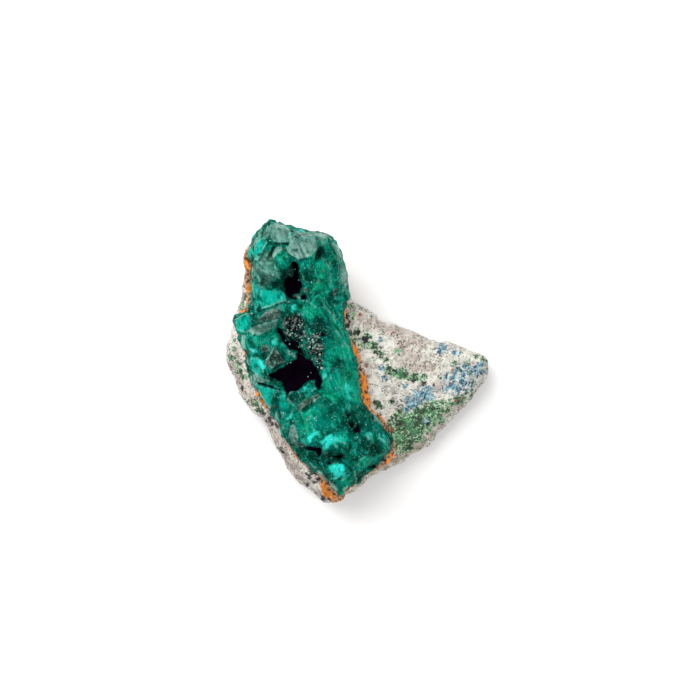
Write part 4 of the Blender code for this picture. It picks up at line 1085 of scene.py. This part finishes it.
def rock_whites(nodes, crumb):
    """Sugary white, washed with pink, tan and mauve, and sprinkled with dark specks, with painted light that
    brightens it and thins the specks next to the ridge.
    """
    white = nodes.ramp(nodes.read("grain"), GRAIN_WHITES)
    # Painted light next to the ridge.
    colour = nodes.mix(nodes.read("clean_and_lit") * 0.6, white, PAINTED_LIGHT_WHITE)
    for name, paint, most in (("pink", PINK, 0.85), ("tan", TAN, 0.9), ("mauve", MAUVE, 0.6)):
        share = nodes.read(name) * nodes.spread(crumb, 0.4, 0.6, most, most * 0.6)
        colour = nodes.mix(share, colour, nodes.mix(0.35, paint, white, "MULTIPLY"))
    crowd = nodes.drift(1.8, -0.06, 0.04)
    dark = nodes.noise(0.28, 2.0, 0.7) + crowd - nodes.read("clean_and_lit") * 0.08
    specks = nodes.ramp(nodes.noise(0.7, 1.0, 0.5), SPECK_COLOURS)
    return nodes.mix(nodes.spread(dark, 0.555, 0.605, 0.0, 0.95), colour, specks)


def rock_crusts(nodes, colour):
    """Grains of green, blue, black and rust, with a paler tint of each between them; the black also paints
    shade along the crystals' foot.
    """
    fine = nodes.noise(0.36, 3.0, 0.62) + nodes.drift(1.7, -0.08, 0.08)
    clump = nodes.drift(1.2, -0.06, 0.06)
    greens = nodes.mix(nodes.read("bright") * 0.45, nodes.ramp(fine, ROCK_GREENS), ROCK_BRIGHT_GREEN)
    crusts = (
        ("green", greens, ROCK_PALE_GREEN, 0.6),
        ("blue", nodes.ramp(fine, ROCK_BLUES), ROCK_PALE_BLUE, 0.5),
        ("black_and_shade", ROCK_BLACK, SPECK_BROWN, 0.5),
        ("rust", RUST, TAN, 0.3),
    )
    for name, paint, tint, most in crusts:
        mask = nodes.read(name)
        colour = nodes.mix(mask * most, colour, tint)
        cover = nodes.noise(0.45, 4.0, 0.7) + mask * 0.2 + clump
        share = nodes.spread(cover, 0.53, 0.59, 0.0, 0.95) * nodes.spread(mask, 0.0, 0.25)
        colour = nodes.mix(share, colour, paint)
    return colour


def rock_material():
    """White carbonate under its crusts, with grey painted into the gaps between the grains as shade."""
    material, shader, nodes = new_material("matrix_rock")
    crumb = nodes.noise(0.25, 3.0, 0.65)
    colour = rock_crusts(nodes, rock_whites(nodes, crumb))
    nodes.fill(shader, {
        # Painted shade in the gaps between grains.
        "Base Color": nodes.mix(nodes.read("gap_shade") * 0.5, colour, GAP_SHADE_GREY),
        "Roughness": nodes.sway(crumb, 0.6, 0.95),
        "Specular IOR Level": 0.3,
        "Normal": nodes.bump(crumb, 0.5, 0.15),
    })
    return material


def seam_material():
    """Crumbly orange iron oxide, crusted over with rock where it isn't bare."""
    material, shader, nodes = new_material("iron_oxide")
    crumb = nodes.noise(0.2, 4.0, 0.7)
    cover = nodes.noise(0.5, 3.0, 0.6)
    colour = nodes.ramp(nodes.noise(0.5, 4.0, 0.7), SEAM_ORANGES)
    colour = nodes.mix(nodes.spread(crumb, 0.34, 0.44, 0.7, 0.0), colour, SEAM_BROWN)
    # Browner seam and painted shade on its left and bottom.
    colour = nodes.mix(nodes.read("brown_and_shade") * 0.7, colour, SEAM_BROWN_SHADE)
    bare = nodes.read("orange") + nodes.spread(cover, 0.35, 0.65, -0.4, 0.4)
    nodes.fill(shader, {
        "Base Color": nodes.mix(nodes.spread(bare, 0.3, 0.45), nodes.ramp(cover, SEAM_CRUSTS), colour),
        "Roughness": nodes.sway(crumb, 0.75, 1.0),
        "Normal": nodes.bump(crumb, 0.7, 0.25),
    })
    return material


# Pieces.


def finish_piece(obj, material, slot_name, *replaced):
    """Gives a piece its material and smooth shading, puts it on its body and hides the CAD node that it
    stands for; slot_name is not used.
    """
    obj.data.materials.append(material)
    for polygon in obj.data.polygons:
        polygon.use_smooth = True
    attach(obj, "root")
    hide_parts(*replaced)


def crystal_patches(pixels, uneven):
    """How far each point is covered by each kind of patch, from 0 to 1, and its depth in pixels."""
    masks = {}
    depths = {}
    for name, (polygons, softness, sway) in PATCHES.items():
        depths[name] = depth_in(pixels, polygons)
        masks[name] = soft_rim(depths[name] + uneven * sway, softness)
    masks["frost_and_sheen"] = np.maximum(masks["frost_and_sheen"], 0.6 * masks["soft_sheen"])
    return masks, depths


def crystal_streaks(points, wedge):
    """Streaks along the ridge, and coarser ones along the wedge."""
    streak = stretched_noise(points, *RIDGE_STREAKS)
    across = stretched_noise(points, *WEDGE_STREAKS)
    return streak * (1 - wedge) + 0.8 * across * wedge


def crystal_edges(points, pixels, uneven, depths):
    """Light on the rims of pale patches and along the traced lines, which are broken."""
    inside = np.maximum(np.maximum(depths["frost_and_sheen"], depths["smoke"] - 0.6), depths["glow"] - 0.4)
    rim = np.exp(-((inside - 0.5) / 0.5) ** 2) * (0.2 + 0.7 * uneven)
    broken = np.clip(0.7 + 0.9 * noise_at(points, *BREAK_NOISE), 0, 1.2)
    return np.maximum(rim, strokes(pixels, HIGHLIGHT_LINES, HIGHLIGHT_WIDTH) * broken)


def make_crystals(rng):
    """The ridge, with its facets' finer relief and the masks that its material reads."""
    obj = dense_copy("dioptase_crystals", "dioptase", CRYSTAL_VOXEL)
    mesh = obj.data
    edges = edges_of(mesh)
    bm = joined_mesh("dioptase_crystals")
    facet_of_face = facets_of(bm)
    points, faces, normals = onto_faces(triples(mesh.vertices, "co"), bm)
    bm.free()
    points = smoothed(points, edges, CRYSTAL_ROUNDS)
    outward = move_points(mesh, points)
    bend = convexity(points, outward, edges)
    pixels = photo_pixels(points)
    uneven = noise_at(points, *RIM_NOISE)
    masks, depths = crystal_patches(pixels, uneven)
    light_edge = crystal_edges(points, pixels, uneven, depths)
    # Painted shade along the traced crease lines.
    shade_line = strokes(pixels, SHADE_LINES, SHADE_LINE_WIDTH) * (0.9 + 0.5 * uneven)
    streak = crystal_streaks(points, masks["wedge"])
    flow = noise_at(points, *FLOW_NOISE) + 0.7 * noise_at(points, *EDDY_NOISE)
    relief, cell_tone = facet_relief(points, LARGE_FACETS, rng)
    fine_relief, fine_tone = facet_relief(points, SMALL_FACETS, rng)
    facet_tone = rng.uniform(-1, 1, facet_of_face.max() + 1)[facet_of_face[faces]]
    calm = 1 - 0.75 * masks["frost_and_sheen"] - 0.4 * masks["glow"]
    height = (relief + fine_relief * SMALL_SHARE) * calm + streak * STREAK_DEPTH * MM
    points = inside_box(points + outward * height[:, None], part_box("dioptase_crystals"))
    move_points(mesh, points)
    upward = np.clip(normals[:, 2] * UP_GAIN, 0, 1)
    core = masks["core"]
    outside_core = 1 - 0.9 * core
    bent_edge = (bend - EDGE_BEND) * EDGE_GAIN
    fine_tones = (1 - 0.6 * masks["smooth"]) * (0.25 * fine_tone + 0.5 * flow)
    write_masks(mesh, {
        "tone": 0.45 * facet_tone + 0.4 * cell_tone + fine_tones + 1.1 * masks["light"] - TONE_LEVEL,
        "streak": streak,
        "smooth": masks["smooth"],
        "light": masks["light"],
        "glow": masks["glow"] * np.maximum(upward, core) * (0.8 + 0.3 * uneven),
        "core": core,
        # Painted grey sheen, on faces also made rougher.
        "frost_and_sheen": masks["frost_and_sheen"] * upward,
        "smoke": masks["smoke"] * upward,
        # Painted shade in the pits.
        "pit_shade": np.clip(masks["pit_shade"] - 0.8 * masks["vug"], 0, 1),
        "vug": masks["vug"] * upward,
        "shade": np.clip(np.maximum(masks["shade"], shade_line) * upward, 0, 1),
        # Painted highlights on outer edges and along the traced lines.
        "edge": np.clip(np.maximum(bent_edge, light_edge) * upward * outside_core, 0, 1),
        # Painted shade in the creases.
        "crease_shade": np.clip((-bend - CREASE_BEND) * CREASE_GAIN, 0, 1) * outside_core,
    })
    finish_piece(obj, dioptase_material(), "dioptase", "dioptase_crystals")
    mesh.set_sharp_from_angle(angle=SHARP_ANGLE)
    return obj


def chip(bm, place, reach, rng):
    """Adds a small six-sided crystal with pointed ends, turned its own way."""
    turn = Euler(rng.uniform(0, math.tau, 3)).to_matrix()
    angles = [math.tau * k / SIDES for k in range(SIDES)]
    ring = [Vector((math.cos(a), math.sin(a), 0.0)) * reach * WAIST for a in angles]
    rows = []
    for lift in (-SHOULDER, SHOULDER):
        rows.append([bm.verts.new(place + turn @ (p + Vector((0, 0, lift * reach)))) for p in ring])
    for row, end in zip(rows, (-1, 1)):
        tip = bm.verts.new(place + turn @ Vector((0, 0, end * reach)))
        for k in range(SIDES):
            bm.faces.new((row[k], row[(k + 1) % SIDES], tip)[::end])
    low, high = rows
    for k in range(SIDES):
        bm.faces.new((low[k], low[(k + 1) % SIDES], high[(k + 1) % SIDES], high[k]))


def make_sparkles(crystals, rng):
    """Small bright crystals that stand in the ridge's surface where it sparkles, coloured as painted glints.
    """
    tree = BVHTree.FromObject(crystals, bpy.context.evaluated_depsgraph_get())
    bm = bmesh.new()
    for u, v, radius in SPARKLES:
        above = Vector((*photo_place(u, v), RAY_HEIGHT))
        hit = tree.ray_cast(above, Vector((0, 0, -1)))[0]
        if hit is not None:
            chip(bm, hit, radius * PIXEL * MM, rng)
    mesh = bpy.data.meshes.new("sparkles")
    bm.to_mesh(mesh)
    bm.free()
    mesh.materials.append(sparkle_material())
    obj = add_object("sparkles", mesh)
    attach(obj, "root")


def open_to_sky(outward):
    """How far each point faces up, from 0 on a wall to 1."""
    return np.clip((outward[:, 2] - WALL_TILT) / SKY_RANGE, 0, 1)


def rock_covers(points, pixels, outward):
    """How far the rock is covered by each colour, seen from above and on its walls."""
    uneven = noise_at(points, *CRUST_NOISE)
    sky = open_to_sky(outward)
    masks = {}
    for name, (places, size, seed, start) in ROCK_COVERS.items():
        seen = np.sqrt(sky) if name == "tan" else sky
        wall = np.clip(1.2 * (noise_at(points, size, seed) - start), 0, 0.7)
        masks[name] = np.maximum(spots(pixels, places, uneven) * seen, wall * (1 - sky))
    for name, areas, most in (("green", GREEN_AREAS, 1.0), ("blue", BLUE_AREAS, BLUE_SHARE)):
        area = soft_rim(depth_in(pixels, areas) + uneven * AREA_SWAY, AREA_SOFTNESS)
        masks[name] = np.maximum(masks[name], most * sky * area)
    # Painted shade along the crystals' foot.
    lines = strokes(pixels, RIDGE_SHADE_LINES, RIDGE_SHADE_WIDTH) * (0.5 + 0.8 * uneven)
    masks["black_and_shade"] = np.maximum(masks["black_and_shade"], lines)
    # Painted light next to the ridge.
    masks["clean_and_lit"] = spots(pixels, CLEAN_LIT_SPOTS, uneven)
    return masks


def make_rock(rng):
    """The rock, with its grain and the masks that its material reads."""
    obj = dense_copy("matrix", "matrix_rock", ROCK_VOXEL)
    mesh = obj.data
    points = smoothed(triples(mesh.vertices, "co"), edges_of(mesh), ROCK_ROUNDS)
    outward = move_points(mesh, points)
    pixels = photo_pixels(points)
    small, grain = domes(points, GRAIN_SPACING, rng)
    large, _ = domes(points, CLUMP_SPACING, rng)
    lumps = noise_at(points, *SWELL_NOISE)
    height = small * GRAIN_HEIGHT + large * CLUMP_HEIGHT + lumps * SWELL_HEIGHT - ROCK_SINK
    free = np.clip(points[:, 2] / (FOOT_HEIGHT * MM), 0, 1)
    points = inside_box(points + outward * (height * MM * free)[:, None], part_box("matrix"))
    move_points(mesh, points)
    masks = rock_covers(points, pixels, outward)
    masks["grain"] = rng.uniform(0, 1, grain.max() + 1)[grain]
    # Painted shade in the gaps between grains.
    masks["gap_shade"] = np.clip(1 - small * 3, 0, 1)
    write_masks(mesh, masks)
    finish_piece(obj, rock_material(), "matrix_rock", "matrix")


def make_seam(rng):
    """The orange seam, swollen into the gaps between the rock and the crystals."""
    obj = dense_copy("iron_oxide_seam", "iron_oxide", SEAM_VOXEL)
    mesh = obj.data
    points = triples(mesh.vertices, "co")
    outward = triples(mesh.vertices, "normal")
    small, _ = domes(points, CRUMB_SPACING, rng)
    swell = SEAM_SWELL * noise_at(points, *SEAM_NOISE)
    height = (SEAM_LIFT + swell + CRUMB_HEIGHT * small) * MM
    points = inside_box(points + outward * height[:, None], cad_box)
    move_points(mesh, points)
    pixels = photo_pixels(points)
    jitter = noise_at(points, *STAIN_NOISE)
    sky = open_to_sky(outward)
    wall = np.clip(0.55 + 0.8 * noise_at(points, *SEAM_WALL_NOISE), 0, 1)
    write_masks(mesh, {
        # Browner seam with painted shade.
        "brown_and_shade": spots(pixels, BROWN_SHADE_SPOTS, jitter),
        "orange": spots(pixels, ORANGE_SPOTS, jitter) * sky + wall * (1 - sky),
    })
    finish_piece(obj, seam_material(), "iron_oxide", "iron_oxide_seam")


# The scene around the specimen.


def make_floor():
    """A pale floor that the specimen stands on, which isn't part of it."""
    mesh = bpy.data.meshes.new("floor")
    bm = bmesh.new()
    bmesh.ops.create_grid(bm, x_segments=1, y_segments=1, size=FLOOR_REACH)
    bm.to_mesh(mesh)
    bm.free()
    material, shader, nodes = new_material("floor")
    nodes.fill(shader, {"Base Color": FLOOR_GREY, "Roughness": 0.9, "Specular IOR Level": 0.0})
    mesh.materials.append(material)
    floor = add_object("floor", mesh)


def make_light(name, place, size, power):
    """A soft round lamp that looks at the specimen and isn't seen itself."""
    data = bpy.data.lights.new(name, "AREA")
    data.shape = "DISK"
    data.size = size
    data.energy = power
    light = add_object(name, data)
    light.location = place
    light.rotation_euler = (-Vector(place)).to_track_quat("-Z", "Y").to_euler()
    light.visible_camera = False


def make_world():
    """An even white sky."""
    world = bpy.data.worlds.new("studio")
    bpy.context.scene.world = world
    world.use_nodes = True
    background = world.node_tree.nodes["Background"]
    background.inputs["Color"].default_value = (*SKY_WHITE, 1.0)
    background.inputs["Strength"].default_value = SKY_STRENGTH


def make_camera():
    """A long lens straight above, which frames the specimen as the photograph does."""
    data = bpy.data.cameras.new("camera")
    data.lens = LENS
    data.sensor_width = SENSOR
    data.clip_start = NEAREST
    data.clip_end = FURTHEST
    camera = add_object("camera", data)
    distance = FRAME_WIDTH * MM * LENS / SENSOR
    camera.location = (*photo_place(*FRAME_MIDDLE), FOCUS_HEIGHT * MM + distance)
    bpy.context.scene.camera = camera


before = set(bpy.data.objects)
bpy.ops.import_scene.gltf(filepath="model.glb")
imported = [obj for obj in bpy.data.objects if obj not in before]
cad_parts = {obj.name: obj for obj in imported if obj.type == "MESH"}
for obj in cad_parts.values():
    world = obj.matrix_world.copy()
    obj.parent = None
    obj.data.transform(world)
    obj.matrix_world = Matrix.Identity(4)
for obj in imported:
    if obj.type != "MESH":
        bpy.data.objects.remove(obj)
cad_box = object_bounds()
bpy.context.scene.view_settings.view_transform = "Standard"
rng = np.random.default_rng(SEED)
make_rock(rng)
make_seam(rng)
make_sparkles(make_crystals(rng), rng)
make_floor()
make_world()
for lamp in LAMPS:
    make_light(*lamp)
make_camera()
